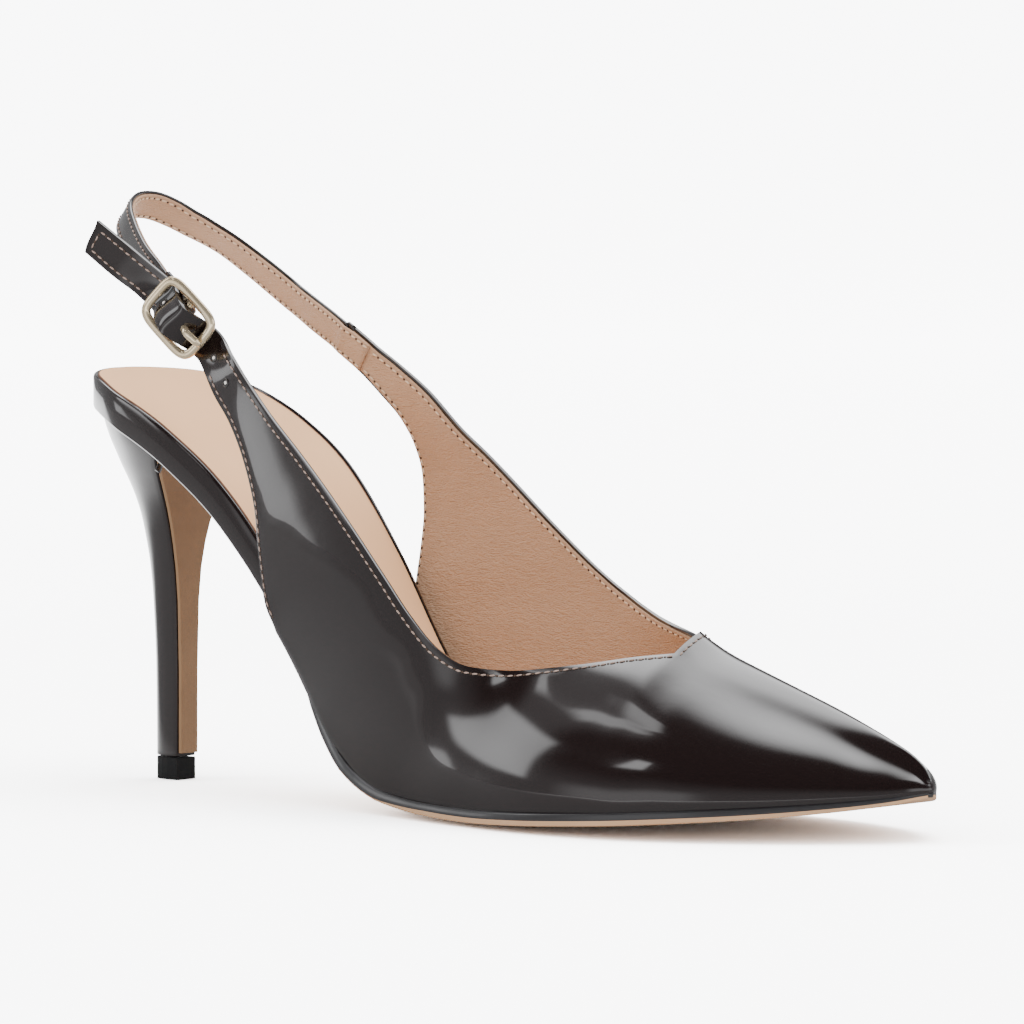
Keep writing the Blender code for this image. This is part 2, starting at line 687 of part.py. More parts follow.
def make_buckle():
    count, sides = 24, 8
    rings = []
    path = []
    for k in range(count):
        a = 2 * math.pi * k / count
        c, s = math.cos(a), math.sin(a)
        path.append((BUCKLE_LONG / 2 * math.copysign(abs(c) ** 0.42, c),
                     BUCKLE_WIDE / 2 * math.copysign(abs(s) ** 0.42, s)))
    bm = bmesh.new()
    for k, (s, w) in enumerate(path):
        s0, w0 = path[k - 1]
        s1, w1 = path[(k + 1) % count]
        ds, dw = s1 - s0, w1 - w0
        size = math.hypot(ds, dw)
        ns, nw = dw / size, -ds / size
        ring = []
        for j in range(sides):
            b = 2 * math.pi * (j + 0.5) / sides
            r, h = WIRE / 2 * math.cos(b), WIRE / 2 * math.sin(b)
            ring.append(bm.verts.new(buckle_point(s + ns * r, w + nw * r, h)))
        rings.append(ring)
    for a, b in zip(rings, rings[1:] + rings[:1]):
        for j in range(sides):
            quad(bm, a[j], a[(j + 1) % sides], b[(j + 1) % sides], b[j])
    frame = new_object("buckle_frame", bm, (0.85, 0.72, 0.45), 0.15, 1.0)
    bar = prism("bar", [(BAR / 2 * math.cos(a), BAR_OUT + BAR / 2 * math.sin(a))
                        for a in (2 * math.pi * k / 10 for k in range(10))], BUCKLE_WIDE / 2)
    boolean(frame, bar, "UNION")

    ring_out = BAR / 2 + GAP + 0.8
    hinge = prism("prong_hinge", [(ring_out * math.cos(a), BAR_OUT + ring_out * math.sin(a))
                                  for a in (2 * math.pi * k / 16 for k in range(16))], 0.9)
    bore = prism("prong_bore", [((BAR / 2 + GAP) * math.cos(a), BAR_OUT + (BAR / 2 + GAP) * math.sin(a))
                                for a in (2 * math.pi * k / 12 for k in range(12))], 4.0)
    reach = BUCKLE_LONG / 2
    shaft_rows = ((-0.95, 0.35), (-3.0, 1.05), (-reach + 1.5, 1.95), (-reach - 0.2, 2.05), (-reach - 1.0, 1.75))
    rings = []
    for i, (s, h) in enumerate(shaft_rows):
        half = (0.75, 0.75, 0.7, 0.6, 0.4)[i]
        rings.append([buckle_point(s, w, h + d) for w, d in
                      ((-half, -0.35), (half, -0.35), (half, 0.25), (half * 0.5, 0.6),
                       (-half * 0.5, 0.6), (-half, 0.25))])
    prong = new_object("buckle_prong", loft(rings), (0.85, 0.72, 0.45), 0.15, 1.0)
    boolean(prong, hinge, "UNION")
    boolean(prong, bore)


def billet_hole(upper):
    cutter = block("billet_hole", (-5.6, -1.0), (-1.2, 1.2), (-4.5, 7.0))
    boolean(upper, cutter)


for old in list(bpy.data.objects):
    bpy.data.objects.remove(old, do_unlink=True)
SHOE = bpy.data.collections.new("slingback_pump")
CUTTERS = bpy.data.collections.new("cutters")
bpy.context.scene.collection.children.link(SHOE)
bpy.context.scene.collection.children.link(CUTTERS)

make_outsole()
make_footbed()
make_sock()
make_heel()
shoe_upper = make_upper()
billet_hole(shoe_upper)
make_sling()
make_buckle()

# The frame's origin is on the floor, under the middle of the whole shoe.
every = [v.co for o in SHOE.objects for v in o.data.vertices if o.name != "heel"]
middle_x = (min(p.x for p in every) + max(p.x for p in every)) / 2
middle_y = (min(p.y for p in every) + max(p.y for p in every)) / 2
for home in (SHOE, CUTTERS):
    for obj in home.objects:
        for vert in obj.data.vertices:
            vert.co = (vert.co - Vector((middle_x, middle_y, 0))) * MM
        obj.data.update()
CUTTERS.hide_render = True
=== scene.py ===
"""Looks of a right-foot slingback pump in dark patent leather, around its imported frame.

Tables are in millimetres in the maker's frame: X from heel to toe, Y to the inner side of
the foot, Z up from the floor. Lateral is the outer side of the foot, at low Y.
"""

import math

import bmesh
import bpy
from mathutils import Matrix, Vector


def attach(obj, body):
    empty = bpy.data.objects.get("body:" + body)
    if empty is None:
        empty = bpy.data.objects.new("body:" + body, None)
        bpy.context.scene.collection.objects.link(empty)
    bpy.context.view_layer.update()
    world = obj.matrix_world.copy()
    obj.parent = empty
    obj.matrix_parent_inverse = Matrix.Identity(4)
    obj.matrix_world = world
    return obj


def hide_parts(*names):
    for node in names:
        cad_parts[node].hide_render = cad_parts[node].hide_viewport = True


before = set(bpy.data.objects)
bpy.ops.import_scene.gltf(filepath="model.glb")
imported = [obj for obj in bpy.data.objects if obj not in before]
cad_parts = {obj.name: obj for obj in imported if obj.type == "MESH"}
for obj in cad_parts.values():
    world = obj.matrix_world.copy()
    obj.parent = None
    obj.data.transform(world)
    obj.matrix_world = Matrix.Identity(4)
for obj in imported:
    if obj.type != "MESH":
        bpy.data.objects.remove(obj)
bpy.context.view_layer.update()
MM = 0.001
ORIGIN = Vector((123.9394, -1.5536, 0.0))
GAP = 0.3
SKIN, LINING = 0.95, 0.5
SOCK_THICK = 1.0
BAND_OUT = 1.9
FEATHER_SINK = 0.3

# Plan of the foot bed, seat to toe: x, lateral edge y, medial edge y.
PLAN = (
    (0.0, -1.2, 1.2),
    (0.4, -4.0, 4.0),
    (1.5, -7.4, 7.4),
    (5.0, -13.3, 13.3),
    (12.0, -19.5, 19.4),
    (25.0, -24.2, 23.6),
    (45.0, -25.6, 23.6),
    (70.0, -25.6, 20.4),
    (95.0, -27.6, 18.6),
    (120.0, -31.6, 20.6),
    (145.0, -36.5, 27.5),
    (170.0, -39.0, 34.2),
    (190.0, -36.6, 36.0),
    (205.0, -31.5, 34.6),
    (220.0, -22.6, 31.0),
    (234.0, -11.6, 25.4),
    (244.0, -1.4, 17.9),
    (248.2, 4.4, 13.5),
    (249.5, 7.2, 11.6),
    (250.0, 8.5, 10.4),
)

# Side view: x, top of the sock, underside of the insole board.
PROFILE = (
    (0.0, 100.5, 92.2),
    (10.0, 99.3, 90.8),
    (23.0, 95.4, 86.4),
    (36.0, 90.2, 80.8),
    (46.0, 84.6, 74.8),
    (56.0, 77.9, 67.6),
    (66.0, 69.0, 58.0),
    (76.0, 57.5, 46.4),
    (83.0, 48.6, 38.0),
    (92.0, 36.8, 25.4),
    (97.0, 30.5, 19.0),
    (104.0, 22.6, 12.2),
    (111.0, 16.4, 8.2),
    (118.0, 12.4, 6.0),
    (134.0, 8.4, 4.5),
    (150.0, 7.5, 4.3),
    (166.0, 8.0, 4.8),
    (180.0, 8.7, 5.5),
    (192.0, 9.4, 6.2),
    (208.0, 10.5, 7.3),
    (221.0, 11.4, 8.2),
    (233.0, 12.4, 9.2),
    (245.0, 13.8, 10.6),
    (252.0, 15.2, 12.0),
)

# Outsole: x, thickness at the edge, how far its edge stands out of the plan.
SOLE = (
    (31.0, 1.7, -6.0),
    (70.0, 1.9, -6.0),
    (82.0, 2.6, -3.2),
    (92.0, 3.2, -0.6),
    (104.0, 3.0, 1.0),
    (120.0, 2.7, 1.0),
    (150.0, 3.0, 1.0),
    (180.0, 2.9, 1.0),
    (215.0, 2.7, 0.9),
    (236.0, 2.2, 0.6),
    (246.0, 1.7, 0.3),
    (250.0, 1.2, 0.1),
)
TREAD_DROP = 1.6

# Heel sections: z, front face x, half width, back x, squareness of the back.
HEEL = (
    (5.7, 22.6, 3.2, 13.8, 3.0),
    (27.0, 22.7, 3.25, 13.6, 3.0),
    (44.0, 22.8, 3.7, 12.8, 2.9),
    (52.0, 22.9, 4.5, 12.2, 2.8),
    (61.0, 23.3, 6.4, 10.9, 2.6),
    (65.0, 23.7, 7.7, 10.2, 2.5),
    (69.0, 24.3, 9.4, 9.1, 2.4),
    (73.0, 25.3, 11.7, 7.7, 2.3),
    (77.0, 26.8, 14.4, 5.9, 2.2),
    (81.0, 29.0, 17.2, 4.1, 2.1),
    (85.0, 32.0, 19.8, 2.6, 2.1),
    (89.0, 36.0, 21.8, 1.3, 2.1),
    (96.0, 43.0, 23.4, 0.4, 2.1),
)

# Outer quarter, from the free end of the billet down its rear edge.
# Lower point x, y, z, then upper point x, y, z, bulge and lean.
QUARTER_LATERAL = (
    (19.1, -30.8, 129.7, 23.3, -30.8, 137.4, 0.0, 0.0),
    (27.2, -29.6, 124.2, 33.4, -29.6, 131.0, 0.0, 0.0),
    (33.6, -28.0, 120.0, 39.8, -27.6, 126.2, 0.0, 0.0),
    (56.3, -24.6, 96.4, 62.9, -25.3, 105.6, 0.1, 0.0),
    (62.2, -25.4, 90.0, 68.4, -26.0, 100.2, 0.3, 0.0),
    (68.8, -27.0, 80.4, 77.8, -27.6, 92.2, 0.5, 0.0),
    (73.6, -28.4, 69.2, 88.6, -29.4, 84.2, 0.8, 0.0),
    (75.6, -29.0, 57.7, 99.3, -31.2, 75.8, 1.2, 0.0),
    (77.2, -28.8, 48.0, 110.2, -32.8, 66.3, 1.6, 0.0),
)
# Inner quarter, from its seam with the sling strap.
QUARTER_MEDIAL = (
    (57.4, 19.4, 104.4, 61.2, 18.9, 111.9, 0.0, 0.0),
    (64.4, 19.0, 100.2, 68.6, 19.0, 107.4, 0.0, 0.0),
    (69.6, 20.4, 95.0, 75.6, 20.4, 102.6, 0.1, 0.0),
    (73.6, 22.8, 89.6, 83.3, 22.2, 96.7, 0.3, 0.0),
    (76.2, 25.2, 83.0, 92.3, 24.5, 87.5, 0.5, 0.0),
    (77.3, 27.0, 75.0, 98.8, 26.4, 81.8, 0.8, 0.0),
    (77.8, 26.8, 66.0, 106.5, 28.2, 74.8, 1.2, 0.0),
    (78.2, 25.0, 56.6, 114.5, 29.6, 67.6, 1.8, 0.0),
    (78.8, 22.6, 48.0, 122.5, 30.6, 61.0, 2.6, 0.0),
)
# Feather line x, then topline x, y, z, bulge and lean, back to front.
SIDE_LATERAL = (
    (80.5, 120.4, -33.8, 56.5, 2.2, 0.0),
    (92.0, 129.0, -34.2, 47.8, 2.6, 0.1),
    (104.0, 137.6, -33.6, 40.3, 2.8, 0.2),
    (118.0, 146.0, -31.6, 36.6, 3.0, 0.4),
    (134.0, 155.0, -28.0, 36.0, 3.0, 0.8),
    (150.0, 163.0, -23.4, 36.8, 3.0, 1.2),
    (166.0, 171.0, -17.6, 38.0, 3.0, 1.7),
    (180.0, 179.0, -11.0, 39.5, 3.0, 2.1),
    (192.0, 185.5, -5.0, 40.3, 2.8, 2.4),
)
SIDE_MEDIAL = (
    (80.5, 131.0, 31.0, 54.9, 4.0, 0.0),
    (92.0, 138.5, 30.8, 50.6, 5.0, 0.0),
    (104.0, 146.0, 29.8, 47.2, 5.2, 0.1),
    (118.0, 153.0, 28.4, 44.8, 5.0, 0.3),
    (134.0, 160.0, 26.4, 43.3, 4.4, 0.6),
    (150.0, 166.5, 24.0, 42.2, 3.6, 1.0),
    (166.0, 172.5, 20.9, 41.0, 3.0, 1.5),
    (180.0, 177.5, 17.9, 39.8, 2.8, 1.9),
    (192.0, 181.5, 15.0, 38.5, 2.6, 2.3),
)
# Vamp: feather x, lateral shoulder x, y, z, ridge x, y, z, medial shoulder x, y, z.
VAMP = (
    (192.0, 185.5, -5.0, 40.3, 184.0, 6.0, 44.7, 181.5, 15.0, 38.5),
    (203.0, 193.5, -4.2, 36.9, 192.0, 6.7, 40.3, 190.0, 16.2, 35.6),
    (213.0, 202.0, -2.6, 33.4, 201.0, 7.5, 36.8, 200.0, 16.8, 32.6),
    (222.0, 211.0, -0.6, 30.0, 210.5, 8.3, 33.3, 210.0, 17.1, 29.4),
    (230.5, 220.0, 1.4, 26.9, 220.0, 9.0, 29.8, 220.0, 17.0, 26.4),
    (237.4, 229.0, 3.4, 23.8, 229.5, 9.4, 26.2, 229.5, 16.0, 23.2),
    (242.9, 236.6, 5.4, 20.8, 237.6, 9.8, 22.9, 237.4, 14.6, 20.4),
    (246.8, 242.8, 7.2, 18.4, 243.7, 9.9, 20.0, 243.5, 13.2, 18.2),
    (249.1, 247.2, 8.4, 16.0, 247.8, 9.8, 17.1, 247.6, 11.6, 15.8),
    (250.0, 249.5, 9.0, 13.8, 249.8, 9.6, 14.3, 249.6, 10.3, 13.7),
)

# Sling strap, from the seam round the heel to the buckle: centre x, y, z, inward lean in degrees.
SLING = (
    (65.4, 16.0, 104.8, 0.0),
    (60.0, 15.7, 107.2, 0.0),
    (53.6, 18.2, 109.9, 0.0),
    (46.0, 21.6, 113.1, 0.0),
    (36.0, 24.2, 117.6, 6.0),
    (25.0, 24.2, 123.9, 14.0),
    (15.5, 23.2, 129.5, 22.0),
    (9.2, 22.0, 132.8, 27.0),
    (4.9, 19.6, 135.3, 31.0),
    (2.1, 16.2, 137.7, 34.0),
    (0.7, 11.5, 139.5, 36.0),
    (1.2, 6.0, 140.0, 36.0),
    (3.4, 0.5, 139.5, 34.0),
    (7.3, -5.0, 137.9, 28.0),
    (11.9, -9.2, 135.5, 20.0),
    (17.6, -13.0, 132.4, 12.0),
    (24.4, -17.0, 128.9, 6.0),
    (31.3, -20.5, 125.9, 0.0),
    (36.0, -22.4, 123.2, 0.0),
    (39.2, -23.5, 120.7, 0.0),
)
SLING_WIDTH = 8.0
SLING_THICK = 1.6

# Buckle: centre, direction along the strap, sizes.
BUCKLE_AT = Vector((47.0, -27.0, 114.5))
BUCKLE_ALONG = Vector((-0.6907, -0.198, 0.6956))
BUCKLE_OUT = Vector((0.2756, -0.9613, 0.0))
BUCKLE_LONG = 15.9
BUCKLE_WIDE = 11.8
BILLET = ((7.4, -1.7), (3.8, 1.7), (0.0, 3.9), (-3.8, 1.7), (-7.4, -1.7), (-10.6, -1.9))
BILLET_HALF = 4.3
WIRE, BAR, BAR_OUT = 2.0, 1.5, -0.5


def place(point):
    """Point of the maker's frame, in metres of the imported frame."""
    return (Vector(point) - ORIGIN) * MM


def curve(rows, column):
    """Smooth function of the first column that keeps to the rises and falls of the table."""
    xs = [row[0] for row in rows]
    ys = [row[column] for row in rows]
    steps = [b - a for a, b in zip(xs, xs[1:])]
    rates = [(b - a) / h for a, b, h in zip(ys, ys[1:], steps)]
    slopes = [rates[0]]
    for h0, h1, d0, d1 in zip(steps, steps[1:], rates, rates[1:]):
        if d0 * d1 <= 0:
            slopes.append(0.0)
        else:
            w0, w1 = 2 * h1 + h0, h1 + 2 * h0
            slopes.append((w0 + w1) / (w0 / d0 + w1 / d1))
    slopes.append(rates[-1])

    def value(x):
        x = min(max(x, xs[0]), xs[-1])
        i = 0
        while i < len(steps) - 1 and x > xs[i + 1]:
            i += 1
        h = steps[i]
        t = (x - xs[i]) / h
        return (
            ys[i] * (1 + 2 * t) * (1 - t) ** 2
            + slopes[i] * h * t * (1 - t) ** 2
            + ys[i + 1] * t * t * (3 - 2 * t)
            + slopes[i + 1] * h * t * t * (t - 1)
        )

    return value


def numbered(rows):
    return [(float(i),) + tuple(row) for i, row in enumerate(rows)]


def smooth(a, b, x):
    t = min(max((x - a) / (b - a), 0.0), 1.0)
    return t * t * (3 - 2 * t)


plan_lateral = curve(PLAN, 1)
plan_medial = curve(PLAN, 2)
sock_top = curve(PROFILE, 1)
board_under = curve(PROFILE, 2)
sole_thick = curve(SOLE, 1)
sole_out = curve(SOLE, 2)


def lean_factor(x):
    rise = (board_under(x + 1) - board_under(x - 1)) / 2
    return math.sqrt(1 + rise * rise)


def board_inset(x):
    return BAND_OUT * smooth(76.0, 100.0, x)


def edge(x, side, out):
    """Point of the plan's edge at station x, moved outwards by out."""
    line = plan_lateral if side < 0 else plan_medial
    back, front = max(x - 0.3, 0.0), min(x + 0.3, 250.0)
    dx, dy = front - back, line(front) - line(back)
    size = math.hypot(dx, dy)
    return Vector((x - side * dy / size * out, line(x) + side * dx / size * out))


def buckle_point(along, wide, out):
    across = BUCKLE_ALONG.cross(BUCKLE_OUT).normalized()
    return BUCKLE_AT + BUCKLE_ALONG * along + across * wide + BUCKLE_OUT * out


# Meshes.


def finish(name, bm, *materials, slot=None, replaces=(), fix=True):
    """The mesh becomes a piece that rides on the shoe's one body."""
    if fix:
        bmesh.ops.recalc_face_normals(bm, faces=bm.faces)
    mesh = bpy.data.meshes.new(name)
    bm.to_mesh(mesh)
    bm.free()
    for polygon in mesh.polygons:
        polygon.use_smooth = True
    for material in materials:
        mesh.materials.append(material)
    piece = bpy.data.objects.new(name, mesh)
    bpy.context.scene.collection.objects.link(piece)
    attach(piece, "root")
    if replaces:
        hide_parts(*replaces)
    return piece


def add_sheet(bm, lines, paint=None):
    """A grid of faces through lines of points, in maker's millimetres. Returns its vertices, line by line."""
    rows, columns = len(lines), len(lines[0])
    made = bmesh.ops.create_grid(bm, x_segments=columns - 1, y_segments=rows - 1, size=0.5, calc_uvs=True)
    verts = sorted(made["verts"], key=lambda v: (round(v.co.y, 5), round(v.co.x, 5)))
    grid = [verts[i * columns:(i + 1) * columns] for i in range(rows)]
    if paint is not None:
        for face in {f for v in verts for f in v.link_faces}:
            middle = face.calc_center_median()
            face.material_index = paint(middle.y + 0.5, middle.x + 0.5)
    for line, row in zip(lines, grid):
        for point, vert in zip(line, row):
            vert.co = place(point)
    return grid


def new_sheets():
    bm = bmesh.new()
    bm.loops.layers.uv.new("UVMap")
    return bm


def weld(bm, distance=0.02):
    bmesh.ops.remove_doubles(bm, verts=bm.verts, dist=distance * MM)
    bmesh.ops.dissolve_degenerate(bm, dist=0.002 * MM, edges=bm.edges)


def close_ends(bm):
    open_edges = [e for e in bm.edges if e.is_boundary]
    if open_edges:
        bmesh.ops.holes_fill(bm, edges=open_edges, sides=0)


def tube(name, rings, *materials, **more):
    """Closed body through rings of points."""
    bm = new_sheets()
    add_sheet(bm, [list(ring) + [ring[0]] for ring in rings])
    weld(bm, 0.003)
    close_ends(bm)
    return finish(name, bm, *materials, **more)


def round_wire(path, normals, wide, high, sides=8, closed=False):
    """Rings of an oval wire along a path. Normals point away from what carries it."""
    rings = []
    count = len(path)
    for i, point in enumerate(path):
        if closed:
            ahead = path[(i + 1) % count] - path[i - 1]
        else:
            ahead = path[min(i + 1, count - 1)] - path[max(i - 1, 0)]
        ahead = ahead.normalized()
        up = (normals[i] - ahead * normals[i].dot(ahead)).normalized()
        across = ahead.cross(up)
        rings.append([point + across * (wide / 2 * math.cos(a)) + up * (high / 2 * math.sin(a))
                      for a in (2 * math.pi * k / sides for k in range(sides))])
    return rings


def modifier(piece, kind, **values):
    made = piece.modifiers.new(kind.lower(), kind)
    for name, value in values.items():
        setattr(made, name, value)
    return made


def round_edges(piece, width, segments=2, angle=50.0):
    modifier(piece, "BEVEL", width=width * MM, segments=segments, limit_method="ANGLE",
             angle_limit=math.radians(angle), harden_normals=False)


def spline(points, per_span):
    ends = [points[0] * 2 - points[1]] + list(points) + [points[-1] * 2 - points[-2]]
    path = []
    for p0, p1, p2, p3 in zip(ends, ends[1:], ends[2:], ends[3:]):
        for k in range(per_span):
            t = k / per_span
            path.append((p1 * 2 + (p2 - p0) * t + (p0 * 2 - p1 * 5 + p2 * 4 - p3) * t * t
                         + (p1 * 3 - p0 - p2 * 3 + p3) * t**3) / 2)
    path.append(points[-1])
    return path


# Stitches.
STITCH_LIFT = 0.18
HOLE_LIFT = 0.05


def walk(points, pitch, start=None):
    """Places at even steps along a line of (point, normal), with the direction there."""
    found, carried = [], pitch * 0.5 if start is None else start
    for (a, na), (b, nb) in zip(points, points[1:]):
        span = (b - a).length
        while carried <= span and span > 0:
            t = carried / span
            found.append((a.lerp(b, t), (b - a).normalized(), na.lerp(nb, t).normalized()))
            carried += pitch
        carried -= span
    return found


def add_stitches(bm, line, pitch, long, wide, high, turn=0.0):
    for point, ahead, up in walk(line, pitch):
        up = (up - ahead * up.dot(ahead)).normalized()
        if turn:
            ahead = Matrix.Rotation(turn, 3, up) @ ahead
        side = up.cross(ahead)
        axes = (ahead * (long / 2 * MM), side * (wide / 2 * MM), up * (high / 2 * MM))
        lay = Matrix(axes).transposed().to_4x4()
        lay.translation = place(point + up * (high * STITCH_LIFT))
        bmesh.ops.create_uvsphere(bm, u_segments=6, v_segments=4, radius=1.0,
                                  matrix=lay @ Matrix.Rotation(math.pi / 2, 4, "Y"))


def add_needle_hole_shade(bm, line, pitch, radius):
    """Flat dark dots of painted shade in the needle holes where the thread goes through, half a pitch from
    the middle of each stitch.
    """
    for point, ahead, up in walk(line, pitch, pitch):
        up = (up - ahead * up.dot(ahead)).normalized()
        turn = Matrix((ahead, up.cross(ahead), up)).transposed().to_4x4()
        turn.translation = place(point + up * HOLE_LIFT)
        bmesh.ops.create_circle(bm, cap_ends=True, segments=8, radius=radius * MM, matrix=turn)


def stitch_piece(name, lines, material, pitch=2.2, long=1.5, wide=0.5, high=0.42, turn=0.12, radius=0.3):
    bm, hole_shade = bmesh.new(), bmesh.new()
    for line in lines:
        add_stitches(bm, line, pitch, long, wide, high, turn)
        add_needle_hole_shade(hole_shade, line, pitch, radius)
    # Flat dark discs at the needle holes, as painted shade of the holes.
    finish(name + "_hole_shade", hole_shade, needle_hole_shade, fix=False)
    return finish(name, bm, material)


# Materials.


def new_material(name, colour, **values):
    material = bpy.data.materials.new(name)
    material.use_nodes = True
    shader = material.node_tree.nodes["Principled BSDF"]
    shader.inputs["Base Color"].default_value = (*colour, 1.0)
    for key, value in values.items():
        shader.inputs[key.replace("_", " ")].default_value = value
    return material


def node(tree, kind, **values):
    """New node. Values go to the sockets of that name, or else to its settings."""
    made = tree.nodes.new(kind)
    for key, value in values.items():
        if key in made.inputs:
            made.inputs[key].default_value = value
        else:
            setattr(made, key, value)
    return made


def grain_group():
    """Leather grain: fine pebbles and long soft creases, as a height."""
    group = bpy.data.node_groups.new("leather_grain", "ShaderNodeTree")
    for name, low in (("Pebble", 900.0), ("Crease", 120.0), ("Depth", 0.5)):
        made = group.interface.new_socket(name, in_out="INPUT", socket_type="NodeSocketFloat")
        made.default_value = low
    made = group.interface.new_socket("Stretch", in_out="INPUT", socket_type="NodeSocketVector")
    made.default_value = (1.0, 1.0, 1.0)
    group.interface.new_socket("Height", in_out="OUTPUT", socket_type="NodeSocketFloat")
    enter, leave = node(group, "NodeGroupInput"), node(group, "NodeGroupOutput")
    where = node(group, "ShaderNodeTexCoord")
    stretched = node(group, "ShaderNodeMapping")
    pebbles = node(group, "ShaderNodeTexVoronoi", feature="SMOOTH_F1", Smoothness=0.6)
    creases = node(group, "ShaderNodeTexNoise", Detail=4.0, Roughness=0.6, Distortion=0.6)
    joined = node(group, "ShaderNodeMath", operation="MULTIPLY_ADD")
    link = group.links.new
    link(where.outputs["Object"], stretched.inputs["Vector"])
    link(enter.outputs["Stretch"], stretched.inputs["Scale"])
    for texture, scale in ((pebbles, "Pebble"), (creases, "Crease")):
        link(stretched.outputs["Vector"], texture.inputs["Vector"])
        link(enter.outputs[scale], texture.inputs["Scale"])
    link(pebbles.outputs["Distance"], joined.inputs[0])
    link(enter.outputs["Depth"], joined.inputs[1])
    link(creases.outputs["Fac"], joined.inputs[2])
    link(joined.outputs[0], leave.inputs["Height"])
    return group


def shade_group():
    """Slow changes of tone over a surface, between two colours."""
    group = bpy.data.node_groups.new("slow_tone", "ShaderNodeTree")
    group.interface.new_socket("Dark", in_out="INPUT", socket_type="NodeSocketColor")
    group.interface.new_socket("Light", in_out="INPUT", socket_type="NodeSocketColor")
    made = group.interface.new_socket("Scale", in_out="INPUT", socket_type="NodeSocketFloat")
    made.default_value = 30.0
    group.interface.new_socket("Color", in_out="OUTPUT", socket_type="NodeSocketColor")
    enter, leave = node(group, "NodeGroupInput"), node(group, "NodeGroupOutput")
    where = node(group, "ShaderNodeTexCoord")
    cloud = node(group, "ShaderNodeTexNoise", Detail=3.0, Roughness=0.55)
    mixed = node(group, "ShaderNodeMix", data_type="RGBA")
    link = group.links.new
    link(where.outputs["Object"], cloud.inputs["Vector"])
    link(enter.outputs["Scale"], cloud.inputs["Scale"])
    link(cloud.outputs["Fac"], mixed.inputs["Factor"])
    link(enter.outputs["Dark"], mixed.inputs[6])
    link(enter.outputs["Light"], mixed.inputs[7])
    link(mixed.outputs[2], leave.inputs["Color"])
    return group


GRAIN, TONE = grain_group(), shade_group()


def leather(name, dark, light, scales, bump_sizes, stretch=(1, 1, 1), **values):
    """Material with slow changes of tone and a grain.

    scales: of the tone, the pebbles and the creases, and the pebbles' depth.
    bump_sizes: strength, and height in mm.
    """
    tone_scale, pebble, crease, depth = scales
    strength, distance = bump_sizes
    material = new_material(name, light, **values)
    tree = material.node_tree
    shader = tree.nodes["Principled BSDF"]
    tone = node(tree, "ShaderNodeGroup", node_tree=TONE)
    tone.inputs["Dark"].default_value = (*dark, 1.0)
    tone.inputs["Light"].default_value = (*light, 1.0)
    tone.inputs["Scale"].default_value = tone_scale
    grain = node(tree, "ShaderNodeGroup", node_tree=GRAIN)
    for key, value in (("Pebble", pebble), ("Crease", crease), ("Depth", depth)):
        grain.inputs[key].default_value = value
    grain.inputs["Stretch"].default_value = stretch
    bump = node(tree, "ShaderNodeBump", Strength=strength, Distance=distance * MM)
    tree.links.new(tone.outputs["Color"], shader.inputs["Base Color"])
    tree.links.new(grain.outputs["Height"], bump.inputs["Height"])
    tree.links.new(bump.outputs["Normal"], shader.inputs["Normal"])
    return material


patent = leather(
    "patent", (0.0050, 0.0024, 0.0023), (0.0080, 0.0042, 0.0040), (22.0, 260.0, 40.0, 0.10), (0.22, 0.30),
    Roughness=0.16, Coat_Weight=1.0, Coat_Roughness=0.025, Specular_IOR_Level=0.35)
patent_edge = leather(
    "patent_edge", (0.0045, 0.0025, 0.0022), (0.009, 0.005, 0.0045), (60.0, 500.0, 90.0, 0.2), (0.2, 0.2),
    Roughness=0.2, Coat_Weight=1.0, Coat_Roughness=0.05)
lining = leather(
    "lining_leather", (0.42, 0.245, 0.145), (0.54, 0.325, 0.20), (30.0, 1500.0, 520.0, 0.5), (0.85, 0.6),
    stretch=(0.8, 1.0, 2.6), Roughness=0.46, Specular_IOR_Level=0.4)
sock_leather = leather(
    "sock_leather", (0.74, 0.42, 0.215), (0.86, 0.51, 0.28), (16.0, 1700.0, 60.0, 0.18), (0.3, 0.25),
    Roughness=0.62, Specular_IOR_Level=0.12)
sole_leather = leather(
    "sole_leather", (0.38, 0.22, 0.115), (0.50, 0.30, 0.165), (40.0, 1900.0, 260.0, 0.4), (0.25, 0.25),
    Roughness=0.45, Specular_IOR_Level=0.4)
breast_leather = leather(
    "breast_leather", (0.17, 0.095, 0.045), (0.24, 0.135, 0.065), (60.0, 1900.0, 300.0, 0.4), (0.3, 0.3),
    Roughness=0.5, Specular_IOR_Level=0.35)
edge_ink = leather(
    "edge_ink", (0.006, 0.006, 0.007), (0.013, 0.012, 0.013), (90.0, 900.0, 200.0, 0.3), (0.3, 0.2),
    Roughness=0.3, Coat_Weight=0.7, Coat_Roughness=0.12)
rubber = leather(
    "tip_rubber", (0.005, 0.005, 0.006), (0.012, 0.012, 0.012), (120.0, 2200.0, 500.0, 0.5), (0.3, 0.2),
    Roughness=0.62, Specular_IOR_Level=0.2)
gilt = leather(
    "gilt", (0.80, 0.63, 0.40), (0.92, 0.78, 0.56), (90.0, 800.0, 260.0, 0.1), (0.08, 0.1),
    Roughness=0.17, Metallic=0.86)
THREAD_SCALES = (700.0, 4000.0, 900.0, 0.8)
HOLE_SCALES = (700.0, 4000.0, 900.0, 0.6)
thread_dark = leather(
    "thread_dark", (0.16, 0.105, 0.085), (0.40, 0.29, 0.24), THREAD_SCALES, (0.5, 0.1), Roughness=0.5)
thread_tan = leather(
    "thread_tan", (0.50, 0.33, 0.20), (0.78, 0.58, 0.40), THREAD_SCALES, (0.5, 0.1), Roughness=0.5)
# Painted shade: near-black brown for the dots in the needle holes.
needle_hole_shade = leather(
    "needle_hole_shade", (0.03, 0.016, 0.010), (0.07, 0.038, 0.022), HOLE_SCALES, (0.3, 0.1), Roughness=0.8)
# Painted highlight: near-white paint for the bright glint in the middle of each punched hole.
painted_hole_glint = leather(
    "painted_hole_glint", (0.60, 0.55, 0.50), (0.80, 0.75, 0.70), HOLE_SCALES, (0.3, 0.1), Roughness=0.4)
